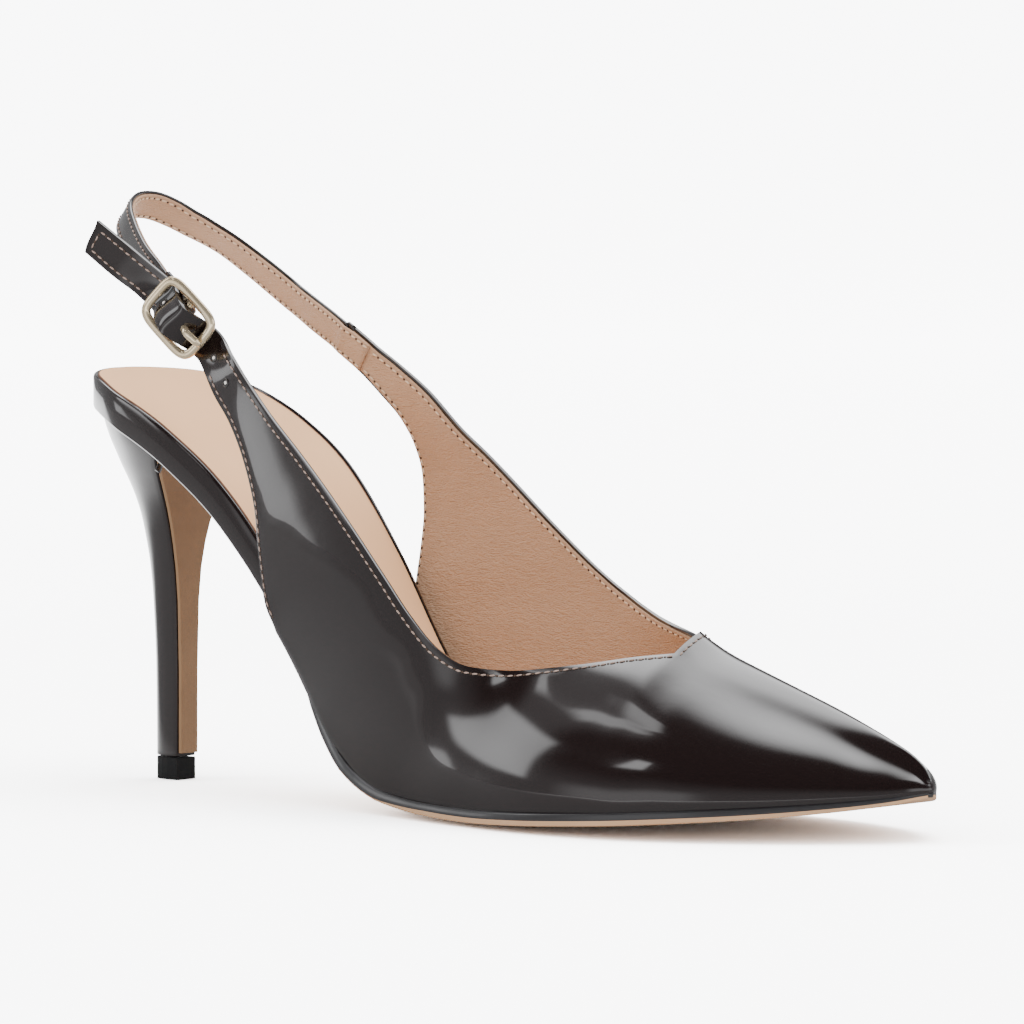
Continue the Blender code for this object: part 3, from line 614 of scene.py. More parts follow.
edge_line = leather(
    "edge_line", (0.10, 0.042, 0.022), (0.17, 0.075, 0.042), (200.0, 2600.0, 700.0, 0.4), (0.3, 0.1),
    Roughness=0.5)


# Upper.


def bezier(p0, p1, p2, p3, t):
    u = 1 - t
    return p0 * u**3 + p1 * (3 * u * u * t) + p2 * (3 * u * t * t) + p3 * t**3


def wall_column(low, high, out, bulge, lean, steps):
    rise = high.z - low.z
    reach = high - low
    start = low + Vector((reach.x * 0.15, 0, rise * 0.4)) + out * bulge
    inward = Vector((0, -out.y, 0)) * lean
    arrive = (Vector((reach.x / max(rise, 1) * 0.6, 0, 1.0)) + inward).normalized()
    end = high - arrive * (reach.length * 0.34) + out * (bulge * 0.5)
    return [bezier(low, start, end, high, t) for t in steps]


def feather(x, side):
    proud = 0.2 + 0.5 * smooth(86.0, 97.0, x) * (1 - smooth(108.0, 135.0, x))
    p = edge(x, side, BAND_OUT - board_inset(x) + proud)
    return Vector((p.x, p.y, board_under(x) - FEATHER_SINK * lean_factor(x)))


def quarter_rows():
    across = []
    for along, out in BILLET:
        low = buckle_point(along, -BILLET_HALF, out)
        high = buckle_point(along, BILLET_HALF, out)
        across.append((*low, *high, 0.0, 0.0))
    return QUARTER_LATERAL[:3] + tuple(across) + QUARTER_LATERAL[3:]


class Side:
    """One side of the upper: columns numbered from the free end to the throat, and steps up each."""

    def __init__(self, quarter, sides, side):
        rows = [tuple(row) for row in quarter]
        for x, tx, ty, tz, bulge, lean in sides:
            low = feather(x, side)
            rows.append((low.x, low.y, low.z, tx, ty, tz, bulge, lean))
        table = numbered(rows)
        self.parts = [curve(table, c) for c in range(1, 9)]
        self.side, self.last, self.quarter = side, len(rows) - 1, len(quarter)

    def column(self, u, steps):
        v = [part(u) for part in self.parts]
        low, high = Vector(v[0:3]), Vector(v[3:6])
        if u >= self.quarter:
            low = feather(v[0], self.side)
        return wall_column(low, high, Vector((0, self.side, 0)), v[6], v[7], steps)

    def point(self, u, t):
        return self.column(min(max(u, 0.0), float(self.last)), [t])[0]

    def height(self, u):
        points = self.column(u, [k / 8 for k in range(9)])
        return sum((b - a).length for a, b in zip(points, points[1:]))

    def normal(self, u, t):
        du = self.point(u + 0.05, t) - self.point(u - 0.05, t)
        dt = self.point(u, min(t + 0.02, 1.0)) - self.point(u, max(t - 0.02, 0.0))
        n = du.cross(dt).normalized()
        return n if n.y * self.side > 0 or abs(n.y) < 0.05 else -n


OUTER_QUARTER = quarter_rows()
outer_side = Side(OUTER_QUARTER, SIDE_LATERAL, -1)
inner_side = Side(QUARTER_MEDIAL, SIDE_MEDIAL, 1)
VAMP_PARTS = [curve(numbered(VAMP), c) for c in range(1, 11)]
VAMP_LAST = len(VAMP) - 1
VAMP_BULGE_TOE, VAMP_BULGE_MORE = 0.4, 2.2


def crown_wall(low, shoulder, ridge, out, bulge, steps):
    rise = shoulder.z - low.z
    start = low + Vector((0, 0, rise * 0.5)) + out * bulge
    along = (ridge - shoulder).normalized()
    along = (along + Vector((0, 0, 0.12))).normalized()
    end = shoulder - along * ((shoulder - low).length * 0.3)
    return [bezier(low, start, end, shoulder, t) for t in steps]


def crown(shoulder, ridge, steps):
    middle = (shoulder + ridge) / 2 + Vector((0, 0, 0.06 * abs(ridge.y - shoulder.y)))
    return [shoulder * (1 - t) ** 2 + middle * (2 * t * (1 - t)) + ridge * t * t for t in steps]


def vamp_half(u, side, wall_steps, crown_steps):
    """Points from the feather line up to the ridge.

    Near the throat the wall eases into the last column of the side behind it.
    """
    v = [part(u) for part in VAMP_PARTS]
    ridge = Vector(v[4:7])
    shoulder = Vector(v[1:4]) if side < 0 else Vector(v[7:10])
    shrink = 1 - u / VAMP_LAST
    low = feather(v[0], side)
    normal = edge(v[0], side, 1.0) - edge(v[0], side, 0.0)
    out = Vector((normal.x, normal.y, 0))
    wall = crown_wall(low, shoulder, ridge, out, VAMP_BULGE_TOE + VAMP_BULGE_MORE * shrink, wall_steps)
    if u < 1.0:
        behind = outer_side if side < 0 else inner_side
        own = behind.column(float(behind.last), wall_steps)
        first = VAMP[0]
        first_wall = crown_wall(
            feather(first[0], side), Vector(first[1:4] if side < 0 else first[7:10]), Vector(first[4:7]),
            out, 2.6, wall_steps)
        blend = smooth(0.0, 1.0, u)
        shift = [(a - b) * (1 - blend) for a, b in zip(own, first_wall)]
        wall = [p + s for p, s in zip(wall, shift)]
    return wall + crown(shoulder, ridge, crown_steps)


WALL_STEPS = [k / 22 for k in range(23)]
CROWN_STEPS = [k / 8 for k in range(1, 9)]
PER_SPAN = 6


def upper_lines(inset):
    """Lines of points over the outer quarter and side, the inner ones, and the vamp.

    inset is how far the edges are drawn back.
    """
    sheets = []
    for side in (outer_side, inner_side):
        lines = []
        first = 0.0 if not inset else 0.18
        count = int(side.last * PER_SPAN)
        for k in range(count + 1):
            u = first + (side.last - first) * k / count
            tall = side.height(u)
            top = 1.0 - inset / tall
            bottom = inset / tall * (1 - smooth(side.quarter - 1, side.quarter + 0.5, u))
            steps = [bottom + (top - bottom) * t for t in WALL_STEPS]
            lines.append(side.column(u, steps))
        sheets.append(lines)
    lines = []
    count = VAMP_LAST * PER_SPAN
    for k in range(count + 1):
        u = VAMP_LAST * k / count
        halves = []
        for index, side in enumerate((-1, 1)):
            u_crown = max(u, inset * 0.11)
            half = vamp_half(u, side, WALL_STEPS, CROWN_STEPS)
            walls = len(WALL_STEPS)
            if u < u_crown:
                half = half[:walls] + vamp_half(u_crown, side, WALL_STEPS, CROWN_STEPS)[walls:]
            if k == 0:
                half = sheets[index][-1] + half[walls:]
            halves.append(half)
        lines.append(halves[0] + halves[1][-2::-1])
    left, right = lines[-1], lines[-1][::-1]
    lines.append([(a + b) / 2 + Vector((0.3, 0.1, 0)) for a, b in zip(left, right)])
    return sheets, lines


def upper_shell(name, inset, sink, thick, material, pieces_before_toe, **more):
    sheets, vamp = upper_lines(inset)
    bm = new_sheets()
    for lines in sheets:
        add_sheet(bm, lines)
    add_sheet(bm, vamp if not pieces_before_toe else vamp[:-pieces_before_toe])
    weld(bm, 0.015)
    inside = [v for v in bm.verts if not v.is_boundary]
    for _ in range(3):
        bmesh.ops.smooth_vert(bm, verts=inside, factor=0.5, use_axis_x=True, use_axis_y=True, use_axis_z=True)
    bmesh.ops.recalc_face_normals(bm, faces=bm.faces)
    outermost = max(bm.faces, key=lambda f: f.calc_center_median().y)
    if outermost.normal.y < 0:
        bmesh.ops.reverse_faces(bm, faces=bm.faces)
    if sink:
        bm.normal_update()
        moves = [(v, v.normal.copy()) for v in bm.verts]
        for v, n in moves:
            v.co -= n * (sink * MM)
    piece = finish(name, bm, material, fix=False, **more)
    modifier(piece, "SOLIDIFY", thickness=thick * MM, offset=-1.0, use_even_offset=False)
    return piece


skin = upper_shell("upper_skin", 0.0, 0.0, SKIN, patent, 0, slot="patent", replaces=["upper"])
round_edges(skin, 0.32, 3, 55.0)
inner = upper_shell("upper_lining", 0.75, SKIN + 0.03, LINING, lining, 8, slot="sock_leather")
round_edges(inner, 0.15, 2, 55.0)


def side_line(side, u0, u1, from_top, step=0.12, deep=0.0):
    """Line at an even distance from the topline, or, if negative, from the lower edge.

    deep is how far it lies under the skin, and then it faces inwards.
    """
    line, u = [], u0
    while u <= u1 + 1e-6:
        tall = side.height(u)
        t = 1 - from_top / tall if from_top > 0 else -from_top / tall
        n = side.normal(u, t)
        line.append((side.point(u, t) - n * deep, -n if deep else n))
        u += step
    return line


def end_line(side, u, t0, t1, deep=0.0):
    line = []
    for k in range(13):
        t = t0 + (t1 - t0) * k / 12
        n = side.normal(u, t)
        line.append((side.point(u, t) - n * deep, -n if deep else n))
    return line


def throat_line(u):
    """Line across the crown of the vamp, a little in front of its edge."""
    steps = [k / 10 for k in range(11)]
    ahead = 0.06
    found = []
    for side in (-1, 1):
        here = vamp_half(u, side, [1.0], steps)[1:]
        near = vamp_half(u + ahead, side, [1.0], steps)[1:]
        normals = []
        for i, p in enumerate(here):
            a, b = here[max(i - 1, 0)], here[min(i + 1, len(here) - 1)]
            n = (near[i] - p).cross(b - a).normalized()
            normals.append(n if n.z > 0 else -n)
        pair = list(zip(here, normals))
        found += pair if side < 0 else pair[-2::-1]
    return found


TOP_IN = 1.7
outer_top = side_line(outer_side, 8.6, outer_side.last, TOP_IN)
inner_top = side_line(inner_side, 0.2, inner_side.last, TOP_IN)
outer_back = side_line(outer_side, 8.6, outer_side.quarter - 0.2, -TOP_IN)
inner_back = side_line(inner_side, 0.2, inner_side.quarter - 0.2, -TOP_IN)
tail_top = side_line(outer_side, 0.16, 3.2, TOP_IN)
tail_low = side_line(outer_side, 0.16, 3.2, -TOP_IN)
tail_end = end_line(outer_side, 0.17, 0.2, 0.8)
stitch_piece("upper_stitches", [outer_top, inner_top, outer_back, inner_back, tail_top, tail_low, tail_end,
                                throat_line(0.17)], thread_dark)
DEEP = SKIN + LINING + 0.06
stitch_piece("lining_stitches", [
    side_line(inner_side, 1.1, inner_side.last, TOP_IN, deep=DEEP),
    side_line(inner_side, 1.1, inner_side.quarter - 0.2, -TOP_IN, deep=DEEP),
    side_line(outer_side, 8.6, outer_side.last, TOP_IN, deep=DEEP),
    side_line(outer_side, 8.6, outer_side.quarter - 0.2, -TOP_IN, deep=DEEP),
], thread_tan)


# Foot bed, sock and sole.


def spread(a, b, count):
    """Stations that crowd towards both rounded ends."""
    return [a + (b - a) * (0.5 - 0.5 * math.cos(math.pi * k / count)) for k in range(count + 1)]


def dish(x, t):
    return 0.9 * (1 - smooth(60.0, 120.0, x)) * smooth(0.0, 14.0, x) * (1 - t * t)


def slab_rings(stations, out, top, under, across, corner, lip=None, split=None):
    """Rings round a slab: across the top, down the medial edge, back along the underside.

    lip is the width of a raised rim on the top and its rise at (x, across). split(x) adds a point
    that far down each side.
    """
    rings = []
    for x in stations:
        a, b = edge(x, -1, out(x)), edge(x, 1, out(x))
        over, below = [], []
        inset = min(corner, (b - a).length * 0.25)
        size = max((b - a).length, 1e-6)
        marks = [0.0, inset * 0.3 / size, inset / size]
        if lip and size > lip[0] * 4:
            marks += [lip[0] / size, (lip[0] + 0.12) / size]
        elif lip:
            marks += [marks[-1] * 1.2, marks[-1] * 1.4]
        inner_marks = [marks[-1] + (1 - 2 * marks[-1]) * k / across for k in range(1, across)]
        marks = marks + inner_marks + [1 - m for m in reversed(marks)]
        for t in marks:
            p = a.lerp(b, t)
            near = min(t, 1 - t) * size
            left = 1 - min(near / corner, 1.0)
            fall = corner * (1 - math.sqrt(max(0.0, 1 - left ** 2)))
            thick = top(p.x, 2 * t - 1) - under(p.x, 2 * t - 1)
            fall = min(fall, thick * 0.45)
            raised = lip[1](x, 2 * t - 1) if lip and near < lip[0] + 0.01 else 0.0
            over.append(Vector((p.x, p.y, top(p.x, 2 * t - 1) - fall + raised)))
            below.append(Vector((p.x, p.y, under(p.x, 2 * t - 1) + fall)))
        if split is None:
            rings.append(over + below[::-1])
        else:
            share = split(x)
            far, near = over[-1].lerp(below[-1], share), over[0].lerp(below[0], share)
            rings.append(over + [far] + below[::-1] + [near])
    return rings


def lip_rise(x, across):
    level = (SOCK_THICK + GAP) * lean_factor(x) + dish(x, across)
    if across < 0:
        return level - 0.25
    return level - 0.25 + 0.8 * smooth(6.0, 30.0, x) * (1 - smooth(112.0, 130.0, x))


tube("footbed_band", slab_rings(
    spread(0.0, 246.0, 110), lambda x: 0.4 - 0.4 * smooth(60, 76, x) - board_inset(x),
    lambda x, t: sock_top(x) - (SOCK_THICK + GAP) * lean_factor(x) - dish(x, t),
    lambda x, t: board_under(x), 8, 0.8, lip=(1.15, lip_rise)), patent, slot="patent", replaces=["footbed"])
tube("sock_lining", slab_rings(
    spread(0.15, 240.0, 110), lambda x: -0.9 - board_inset(x) * 0.9,
    lambda x, t: sock_top(x) - dish(x, t),
    lambda x, t: sock_top(x) - (SOCK_THICK + GAP * 0.8) * lean_factor(x) - dish(x, t), 12, 0.35),
    sock_leather, slot="sock_leather", replaces=["sock"])


def make_sock_edge():
    """Thin burnished line round the edge of the sock."""
    stations = spread(0.15, 240.0, 110)
    path = []
    for side, xs in ((-1, stations), (1, stations[-2:0:-1])):
        for x in xs:
            p = edge(x, side, -0.98 - board_inset(x) * 0.9)
            path.append(Vector((p.x, p.y, sock_top(p.x) - 0.28)))
    rings = round_wire(path, [Vector((0, 0, 1))] * len(path), 0.5, 0.6, 8, closed=True)
    bm = new_sheets()
    add_sheet(bm, [ring + [ring[0]] for ring in rings + rings[:1]])
    weld(bm, 0.003)
    finish("sock_edge", bm, edge_line)


make_sock_edge()


def sole_top(x, t=0.0):
    return board_under(x) - GAP * 0.5 * lean_factor(x)


def sole_under(x, t):
    edge_z = sole_top(x) - sole_thick(x) * lean_factor(x)
    drop = TREAD_DROP * smooth(100.0, 125.0, x) * (1 - smooth(185.0, 240.0, x))
    return max(0.0, edge_z - drop * (1 - t * t))


def make_outsole():
    rings = slab_rings(spread(32.2, 250.0, 120), sole_out, sole_top, sole_under, 14, 0.3,
                       split=lambda x: 0.97 - 0.37 * smooth(112.0, 136.0, x))
    count = len(rings[0])
    half = count // 2 - 1

    def paint(along, round_it):
        """Ink on the top and the upper part of the edge, bare leather below."""
        return 0 if half < round_it * count < count - 1 else 1

    bm = new_sheets()
    add_sheet(bm, [ring + [ring[0]] for ring in rings], paint)
    weld(bm, 0.003)
    close_ends(bm)
    finish("outsole_leather", bm, sole_leather, edge_ink, slot="sole_leather", replaces=["outsole"])


make_outsole()


# Heel.


def heel_ring(z, front, half, back, power, count):
    points = []
    for k in range(count + 1):
        a = math.radians(90 + 180 * k / count)
        c, s = math.cos(a), math.sin(a)
        points.append(Vector((front - (front - back) * abs(c) ** (2 / power),
                              half * math.copysign(abs(s) ** (2 / power), s), z)))
    return points


def make_heel():
    parts = [curve(HEEL, c) for c in range(1, 5)]

    def at(z, k):
        return heel_ring(z, *[part(z) for part in parts], 40)[k]

    levels = 64
    meridians = []
    for k in range(41):
        low, high = 60.0, 100.0
        for _ in range(24):
            z = (low + high) / 2
            if z < board_under(at(z, k).x) - GAP * 0.4:
                low = z
            else:
                high = z
        top = low
        meridians.append([at(5.7 + (top - 5.7) * j / levels, k) for j in range(levels + 1)])
    rings = [[m[j] for m in meridians] for j in range(levels + 1)]
    piece = tube("heel_cover", rings, patent, slot="heel_cover", replaces=["heel"])
    round_edges(piece, 0.35, 3, 50.0)


make_heel()
flap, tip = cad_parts["breast_flap"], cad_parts["heel_tip"]
for cad, material, width in ((flap, breast_leather, 0.18), (tip, rubber, 0.3)):
    cad.data.materials.clear()
    cad.data.materials.append(material)
    modifier(cad, "WELD", merge_threshold=0.004 * MM)
    round_edges(cad, width, 3, 30.0)


def make_breast_rim():
    """Edge of the patent, turned under the seat over the top of the heel's leather front."""
    half = [(29.5, -16.6, 76.4), (29.9, -15.2, 78.5), (30.3, -10.5, 79.2), (30.5, 0.0, 79.4)]
    line = spline([Vector(p) for p in half + [(x, -y, z) for x, y, z in half[-2::-1]]], 6)
    tube("breast_rim", round_wire(line, [Vector((0.8, 0.0, -0.6))] * len(line), 2.3, 1.1, 12), patent)


make_breast_rim()


# Sling strap.


STRAP_STEPS = 8
SEAM_ROWS = ((58.7, 18.35, 108.3, 0.0), (53.2, 19.9, 110.5, 0.0), (46.0, 21.6, 113.45, 0.0))


def strap_frames():
    rows = SEAM_ROWS + SLING[4:]
    path = spline([Vector(p[:3]) for p in rows], STRAP_STEPS)
    lean = curve(numbered(rows), 4)
    frames = []
    for i, p in enumerate(path):
        ahead = (path[min(i + 1, len(path) - 1)] - path[max(i - 1, 0)]).normalized()
        out = ahead.cross(Vector((0, 0, 1))).normalized()
        if out.dot(p - Vector((30, 0, p.z))) < 0:
            out = -out
        up = out.cross(ahead).normalized()
        if up.z < 0:
            up = -up
        turn = math.radians(lean(i / STRAP_STEPS))
        up, out = up * math.cos(turn) - out * math.sin(turn), out * math.cos(turn) + up * math.sin(turn)
        frames.append((p, up, out))
    return frames


STRAP = strap_frames()


def strap_body(name, frames, inner_face, outer_face, half, material, **more):
    rings = []
    r = min(0.35, (outer_face - inner_face) * 0.45)
    for p, up, out in frames:
        ring = []
        corners = ((half - r, outer_face - r, 0), (half - r, inner_face + r, -90),
                   (-half + r, inner_face + r, -180), (-half + r, outer_face - r, -270))
        for w, o, first in corners:
            for k in range(4):
                a = math.radians(first + 90 - 30 * k)
                ring.append(p + up * (w + r * math.cos(a)) + out * (o + r * math.sin(a)))
        rings.append(ring)
    return tube(name, rings, material, **more)


def strap_edge_line(frames, height, face, sign):
    return [(p + up * height + out * face, out * sign) for p, up, out in frames]


strap_body("strap_skin", STRAP, -0.15, SLING_THICK / 2, SLING_WIDTH / 2, patent,
           slot="patent", replaces=["sling_strap"])
LAP_SINK, LAP_ROWS = 0.45, 6


def lapped_frames():
    """Frames of the strap, carried on over the inside of the inner quarter."""
    frames = []
    for k in range(LAP_ROWS, 0, -1):
        u = k / LAP_ROWS
        n = inner_side.normal(u, 0.5)
        up = (inner_side.point(u, 1.0) - inner_side.point(u, 0.0)).normalized()
        frames.append((inner_side.point(u, 0.5) - n * (SLING_THICK / 2 + LAP_SINK), up, n))
    for k, (p, up, out) in enumerate(STRAP):
        frames.append((p - out * LAP_SINK * max(0.0, 1 - k / 5), up, out))
    return frames


LAPPED = lapped_frames()
strap_body("strap_lining", LAPPED, -SLING_THICK / 2, -0.13, SLING_WIDTH / 2 - 0.4, lining)
STITCH_FACE = SLING_THICK / 2 + 0.02
stitch_piece("strap_stitches", [
    strap_edge_line(STRAP, height, STITCH_FACE, 1) for height in (2.6, -2.6)
], thread_dark)
stitch_piece("strap_lining_stitches", [
    strap_edge_line(LAPPED[:-10], height, -STITCH_FACE, -1) for height in (2.7, -2.7)
], thread_tan)


def make_seam_wrap():
    """Narrow turn of patent over the join of the strap and the inner quarter."""
    p, up, out = STRAP[0]
    ahead = (STRAP[1][0] - p).normalized()
    frames = [(p - ahead * s + up * 0.05, up, out) for s in (2.4, 1.6, 0.8, 0.0, -0.5)]
    strap_body("seam_wrap", frames, 0.25, SLING_THICK / 2 + 0.4, SLING_WIDTH / 2 + 0.3, patent)


make_seam_wrap()


def make_strap_loop():
    """The strap's turned end, wrapped round the bar."""
    count = 20
    outer = BAR / 2 + GAP + 1.1
    low, high = math.radians(-62), math.radians(75)
    arc = [high + (2 * math.pi - high + low) * k / count for k in range(count + 1)]
    outside = [(11.5, -4.2), (9.5, -4.1), (4.6, -3.2)]
    outside += [(outer * math.cos(a), BAR_OUT + outer * math.sin(a)) for a in arc]
    outside += [(4.0, -5.6), (11.5, -6.0)]
    rings = []
    for w in (-SLING_WIDTH / 2, -SLING_WIDTH / 2 + 0.25, SLING_WIDTH / 2 - 0.25, SLING_WIDTH / 2):
        shrink = 0.25 if abs(w) > SLING_WIDTH / 2 - 0.1 else 0.0
        rings.append([buckle_point(s, w, h - shrink * (1 if h > BAR_OUT else -1)) for s, h in outside])
    tube("strap_loop", rings, patent)


make_strap_loop()


# Buckle. The ring is a little larger than the solid, and RING_SQUARE sets how square it is.
RING_OUT, RING_SQUARE = 0.25, 0.42


def make_buckle():
    count = 72
    path, out = [], []
    for k in range(count):
        a = 2 * math.pi * k / count
        c, s = math.cos(a), math.sin(a)
        path.append(buckle_point((BUCKLE_LONG / 2 + RING_OUT) * math.copysign(abs(c) ** RING_SQUARE, c),
                                 (BUCKLE_WIDE / 2 + RING_OUT) * math.copysign(abs(s) ** RING_SQUARE, s), 0.0))
        out.append(BUCKLE_OUT)
    rings = round_wire(path, out, WIRE * 1.15, WIRE * 0.95, 16, closed=True)
    bm = new_sheets()
    add_sheet(bm, [ring + [ring[0]] for ring in rings + rings[:1]])
    weld(bm, 0.003)
    finish("buckle_ring", bm, gilt, slot="gilt", replaces=["buckle_frame"])
    across = [buckle_point(0, w, BAR_OUT) for w in (-BUCKLE_WIDE / 2, -2, 2, BUCKLE_WIDE / 2)]
    tube("buckle_bar", round_wire(across, [BUCKLE_OUT] * 4, BAR, BAR, 14), gilt)
    reach = BUCKLE_LONG / 2
    # The prong: place along the buckle, height over it, and thickness.
    shaft = ((-0.6, 0.3, 1.0), (-2.0, 0.7, 1.05), (-3.6, 1.9, 1.1), (-5.2, 2.6, 1.2),
             (-reach + 0.4, 2.1, 1.2), (-reach - 0.4, 1.9, 1.0), (-reach - 1.1, 1.55, 0.75),
             (-reach - 1.35, 1.35, 0.35))
    line = spline([buckle_point(s, 0, h) for s, h, _ in shaft], 5)
    width = curve(numbered([(w,) for _, _, w in shaft]), 1)
    rings = []
    for i, ring in enumerate(round_wire(line, [BUCKLE_OUT] * len(line), 1.7, 1.5, 12)):
        grow = width(i / 5)
        rings.append([line[i] + (p - line[i]) * grow for p in ring])
    tube("buckle_pin", rings, gilt, replaces=["buckle_prong"])


make_buckle()


HOLE_STATIONS = (3.6, 8.4, 9.3)
# Radii of the dark disc of painted shade in each hole, of the pale bead of painted highlight, and of the rim;
# sides of the rim.
HOLE_RADIUS, GLINT_RADIUS, RIM_RADIUS, RIM_SIDES = 0.95, 0.45, 0.98, 24


def make_holes():
    """Punched holes of the billet with their raised rims, a flat dark disc of painted shade in each hole and
    a pale bead of painted highlight in its middle.
    """
    rims, hole_shade, glint_beads = bmesh.new(), bmesh.new(), bmesh.new()
    rims.loops.layers.uv.verify()
    for u in HOLE_STATIONS:
        centre = outer_side.point(u, 0.5)
        n = outer_side.normal(u, 0.5)
        ahead = (outer_side.point(u + 0.1, 0.5) - outer_side.point(u - 0.1, 0.5)).normalized()
        side = n.cross(ahead)
        turn = Matrix((ahead, side, n)).transposed().to_4x4()
        turn.translation = place(centre + n * 0.04)
        # A dark disc of painted shade fills the hole, and a pale bead of painted highlight sits in its
        # middle.
        bmesh.ops.create_circle(hole_shade, cap_ends=True, segments=20, radius=HOLE_RADIUS * MM, matrix=turn)
        bmesh.ops.create_uvsphere(glint_beads, u_segments=14, v_segments=8, radius=GLINT_RADIUS * MM,
                                  matrix=turn @ Matrix.Diagonal((1.0, 1.0, 0.6, 1.0)))
        ring = [centre + ahead * (RIM_RADIUS * math.cos(a)) + side * (RIM_RADIUS * math.sin(a)) + n * 0.03
                for a in (2 * math.pi * k / RIM_SIDES for k in range(RIM_SIDES))]
        wires = round_wire(ring, [n] * RIM_SIDES, 0.4, 0.32, 8, closed=True)
        add_sheet(rims, [w + [w[0]] for w in wires + wires[:1]])
    bmesh.ops.remove_doubles(rims, verts=rims.verts, dist=0.003 * MM)
    bmesh.ops.recalc_face_normals(rims, faces=rims.faces)
    finish("billet_hole_rims", rims, patent_edge)
    # Discs of black ink as painted shade in the holes, and pale beads as painted highlight.
    finish("billet_hole_shade", hole_shade, edge_ink, fix=False)
    finish("billet_hole_glints", glint_beads, painted_hole_glint)


make_holes()


# Camera: it stands where the photograph was taken from, and turns a little to take in the one shoe.
AZIMUTH, ELEVATION = math.radians(42.0), math.radians(1.5554)
TARGET = Vector((120.0, 0.0, 40.0))
SIDE_STEP, RISE_STEP, DISTANCE = -17.6866, 101.7868, 1900.0
SHOE_LEFT, SHOE_DOWN = 10.0, 72.0
LENS = 283.0


def make_camera():
    back = Vector((math.sin(AZIMUTH) * math.cos(ELEVATION), -math.cos(AZIMUTH) * math.cos(ELEVATION),
                   math.sin(ELEVATION)))
    right = Vector((math.cos(AZIMUTH), math.sin(AZIMUTH), 0.0))
    up = back.cross(right)
    spot = TARGET - right * SIDE_STEP + up * RISE_STEP + back * DISTANCE
    middle = spot - back * DISTANCE - right * SHOE_LEFT - up * SHOE_DOWN
    back = (spot - middle).normalized()
    right = Vector((0, 0, 1)).cross(back).normalized()
    up = back.cross(right)
    data = bpy.data.cameras.new("camera")
    data.lens = LENS
    data.sensor_width = 36.0
    data.clip_start, data.clip_end = 0.05, 50.0
    camera = bpy.data.objects.new("camera", data)
    bpy.context.scene.collection.objects.link(camera)
    turn = Matrix((right, up, back)).transposed().to_4x4()
    camera.matrix_world = Matrix.Translation(place(spot)) @ turn
    bpy.context.scene.camera = camera


def maths(tree, operation, *values):
    """Output of a Math node. Each value is a number or a socket."""
    made = node(tree, "ShaderNodeMath", operation=operation)
    for socket, value in zip(made.inputs, values):
        if isinstance(value, (int, float)):
            socket.default_value = value
        else:
            tree.links.new(value, socket)
    return made.outputs[0]


def ramp(tree, value, low, high, start=0.0, end=1.0, interpolation="SMOOTHSTEP"):
    """Output that goes from start to end while value goes from low to high. end may be a socket."""
    made = node(tree, "ShaderNodeMapRange", interpolation_type=interpolation)
    tree.links.new(value, made.inputs["Value"])
    for key, number in (("From Min", low), ("From Max", high), ("To Min", start), ("To Max", end)):
        if isinstance(number, (int, float)):
            made.inputs[key].default_value = number
        else:
            tree.links.new(number, made.inputs[key])
    return made.outputs["Result"]


def either(tree, choose, plain, chosen):
    """Output that is plain, or chosen where choose is 1. Both are numbers or sockets."""
    made = node(tree, "ShaderNodeMix", data_type="FLOAT")
    tree.links.new(choose, made.inputs[0])
    for socket, value in ((made.inputs[2], plain), (made.inputs[3], chosen)):
        if isinstance(value, (int, float)):
            socket.default_value = value
        else:
            tree.links.new(value, socket)
    return made.outputs[0]


# Floor: how bright it is as seen near the shoe and far off, for other light, and as the patent mirrors it
# towards the camera, behind the heel and in front of the outer side. Places are in metres.
FLOOR_DROP = 0.08
FLOOR_SEEN_NEAR, FLOOR_SEEN_FAR, SEEN_FROM, SEEN_TO = 3.3, 5.0, 0.5, 2.5
FLOOR_PLAIN = 0.88
MIRRORED_NEAR, MIRRORED_BACK, MIRRORED_FRONT = 0.21, 1.5, 0.75


def make_floor():
    """Pale floor. What the patent mirrors of it is darker towards the camera than at the back."""
    bm = bmesh.new()
    bmesh.ops.create_grid(bm, x_segments=1, y_segments=1, size=8.0,
                          matrix=Matrix.Translation((0, 0, -FLOOR_DROP * MM)))
    mesh = bpy.data.meshes.new("floor")
    bm.to_mesh(mesh)
    bm.free()
    floor = bpy.data.objects.new("floor", mesh)
    bpy.context.scene.collection.objects.link(floor)
    material = bpy.data.materials.new("floor_paint")
    material.use_nodes = True
    tree = material.node_tree
    tree.nodes.remove(tree.nodes["Principled BSDF"])
    link = tree.links.new
    path = node(tree, "ShaderNodeLightPath")
    where = node(tree, "ShaderNodeTexCoord")
    parts = node(tree, "ShaderNodeSeparateXYZ")
    link(where.outputs["Object"], parts.inputs[0])
    x, y = parts.outputs["X"], parts.outputs["Y"]
    behind = ramp(tree, x, -0.09, -0.20, MIRRORED_NEAR, MIRRORED_BACK)
    back = ramp(tree, y, -0.075, 0.035, MIRRORED_NEAR, behind)
    reach = node(tree, "ShaderNodeVectorMath", operation="LENGTH")
    link(where.outputs["Object"], reach.inputs[0])
    far = ramp(tree, reach.outputs["Value"], SEEN_FROM, SEEN_TO, FLOOR_SEEN_NEAR, FLOOR_SEEN_FAR, "LINEAR")
    seen = either(tree, path.outputs["Is Camera Ray"], FLOOR_PLAIN, far)
    front = ramp(tree, y, -0.22, -0.55, 0.0, MIRRORED_FRONT)
    forward = maths(tree, "MULTIPLY_ADD", ramp(tree, x, -0.42, -0.12), front, back)
    mirrored = either(tree, path.outputs["Is Glossy Ray"], seen, forward)
    tint = node(tree, "ShaderNodeCombineColor")
    for key in ("Red", "Green", "Blue"):
        link(mirrored, tint.inputs[key])
    matt = node(tree, "ShaderNodeBsdfDiffuse")
    link(tint.outputs[0], matt.inputs["Color"])
    link(matt.outputs[0], tree.nodes["Material Output"].inputs["Surface"])
    mesh.materials.append(material)


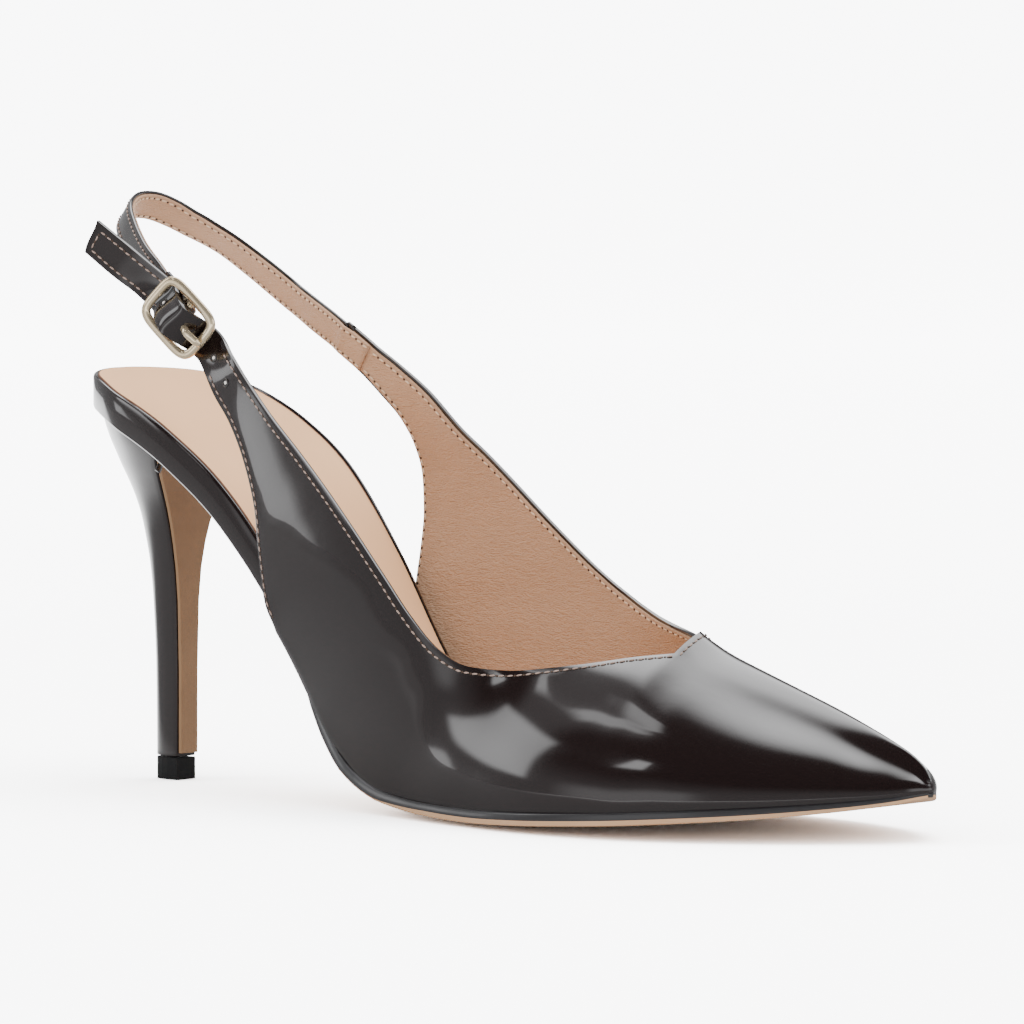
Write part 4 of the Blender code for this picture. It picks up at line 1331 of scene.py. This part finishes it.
def area_light(name, spot, target, size, power, mirrored=False):
    data = bpy.data.lights.new(name, "AREA")
    data.shape = "RECTANGLE"
    data.size, data.size_y = size
    data.energy = power
    lamp = bpy.data.objects.new(name, data)
    bpy.context.scene.collection.objects.link(lamp)
    lamp.visible_glossy = mirrored
    aim = (Vector(spot) - Vector(target)).to_track_quat("Z", "Y")
    lamp.matrix_world = Matrix.Translation(Vector(spot)) @ aim.to_matrix().to_4x4()


# Soft boxes as the patent mirrors them: middle and half width of the azimuth, lowest and highest
# elevation, softness of the edges, all in degrees, and brightness.
BOXES = (
    (-151.4, 5.6, -4.0, 6.0, 1.2, 2.3),
    (-140.0, 9.0, 12.0, 46.0, 2.5, 3.0),
    (-150.0, 6.0, 61.0, 72.0, 3.0, 2.6),
    (-168.0, 14.0, 71.0, 77.0, 2.5, 2.4),
    (-104.0, 5.5, 43.0, 53.0, 2.0, 4.0),
    (104.0, 52.0, 38.0, 69.0, 8.0, 4.6),
    (20.0, 30.0, 5.0, 30.0, 6.0, 1.2),
    (-92.0, 22.0, -4.0, 14.0, 6.0, 0.8),
    (-172.0, 34.0, 20.0, 72.0, 7.0, 0.38),
)
# Glow of the room in the patent, low down and high up, and the degrees between which it fades.
GLOW_LOW, GLOW_HIGH, GLOW_FROM, GLOW_TO = 0.42, 0.05, 10, 40
# Brightness of the room behind the shoe, and of its light.
BACKDROP, AMBIENT = 9.0, 1.8


def make_surroundings():
    world = bpy.data.worlds.new("studio")
    bpy.context.scene.world = world
    world.use_nodes = True
    tree = world.node_tree
    link = tree.links.new
    where = node(tree, "ShaderNodeTexCoord")
    parts = node(tree, "ShaderNodeSeparateXYZ")
    link(where.outputs["Generated"], parts.inputs[0])
    azimuth = maths(tree, "ARCTAN2", parts.outputs["Y"], parts.outputs["X"])
    elevation = maths(tree, "ARCSINE", parts.outputs["Z"])
    total = ramp(tree, elevation, math.radians(GLOW_FROM), math.radians(GLOW_TO), GLOW_LOW, GLOW_HIGH)
    for middle, half, low, high, soft, bright in BOXES:
        turned = maths(tree, "SUBTRACT", azimuth, math.radians(middle))
        away = maths(tree, "ABSOLUTE", maths(tree, "WRAP", turned, math.pi, -math.pi))
        beside = ramp(tree, away, math.radians(half - soft), math.radians(half + soft), bright, 0.0)
        above = ramp(tree, elevation, math.radians(low - soft), math.radians(low + soft))
        below = ramp(tree, elevation, math.radians(high - soft), math.radians(high + soft), 1.0, 0.0)
        within = maths(tree, "MULTIPLY", maths(tree, "MULTIPLY", beside, above), below)
        total = maths(tree, "ADD", total, within)
    path = node(tree, "ShaderNodeLightPath")
    seen = either(tree, path.outputs["Is Camera Ray"], AMBIENT, BACKDROP)
    mirrored = either(tree, path.outputs["Is Glossy Ray"], seen, total)
    link(mirrored, tree.nodes["Background"].inputs["Strength"])
    tree.nodes["Background"].inputs["Color"].default_value = (0.985, 0.99, 1.0, 1.0)


make_camera()
make_floor()
area_light("over", (0.2, 0.3, 1.8), (0.0, 0.0, 0.05), (1.8, 1.2), 30)
area_light("side", (-1.2, -1.1, 1.0), (0.05, 0.0, 0.03), (0.8, 0.8), 9)
make_surroundings()
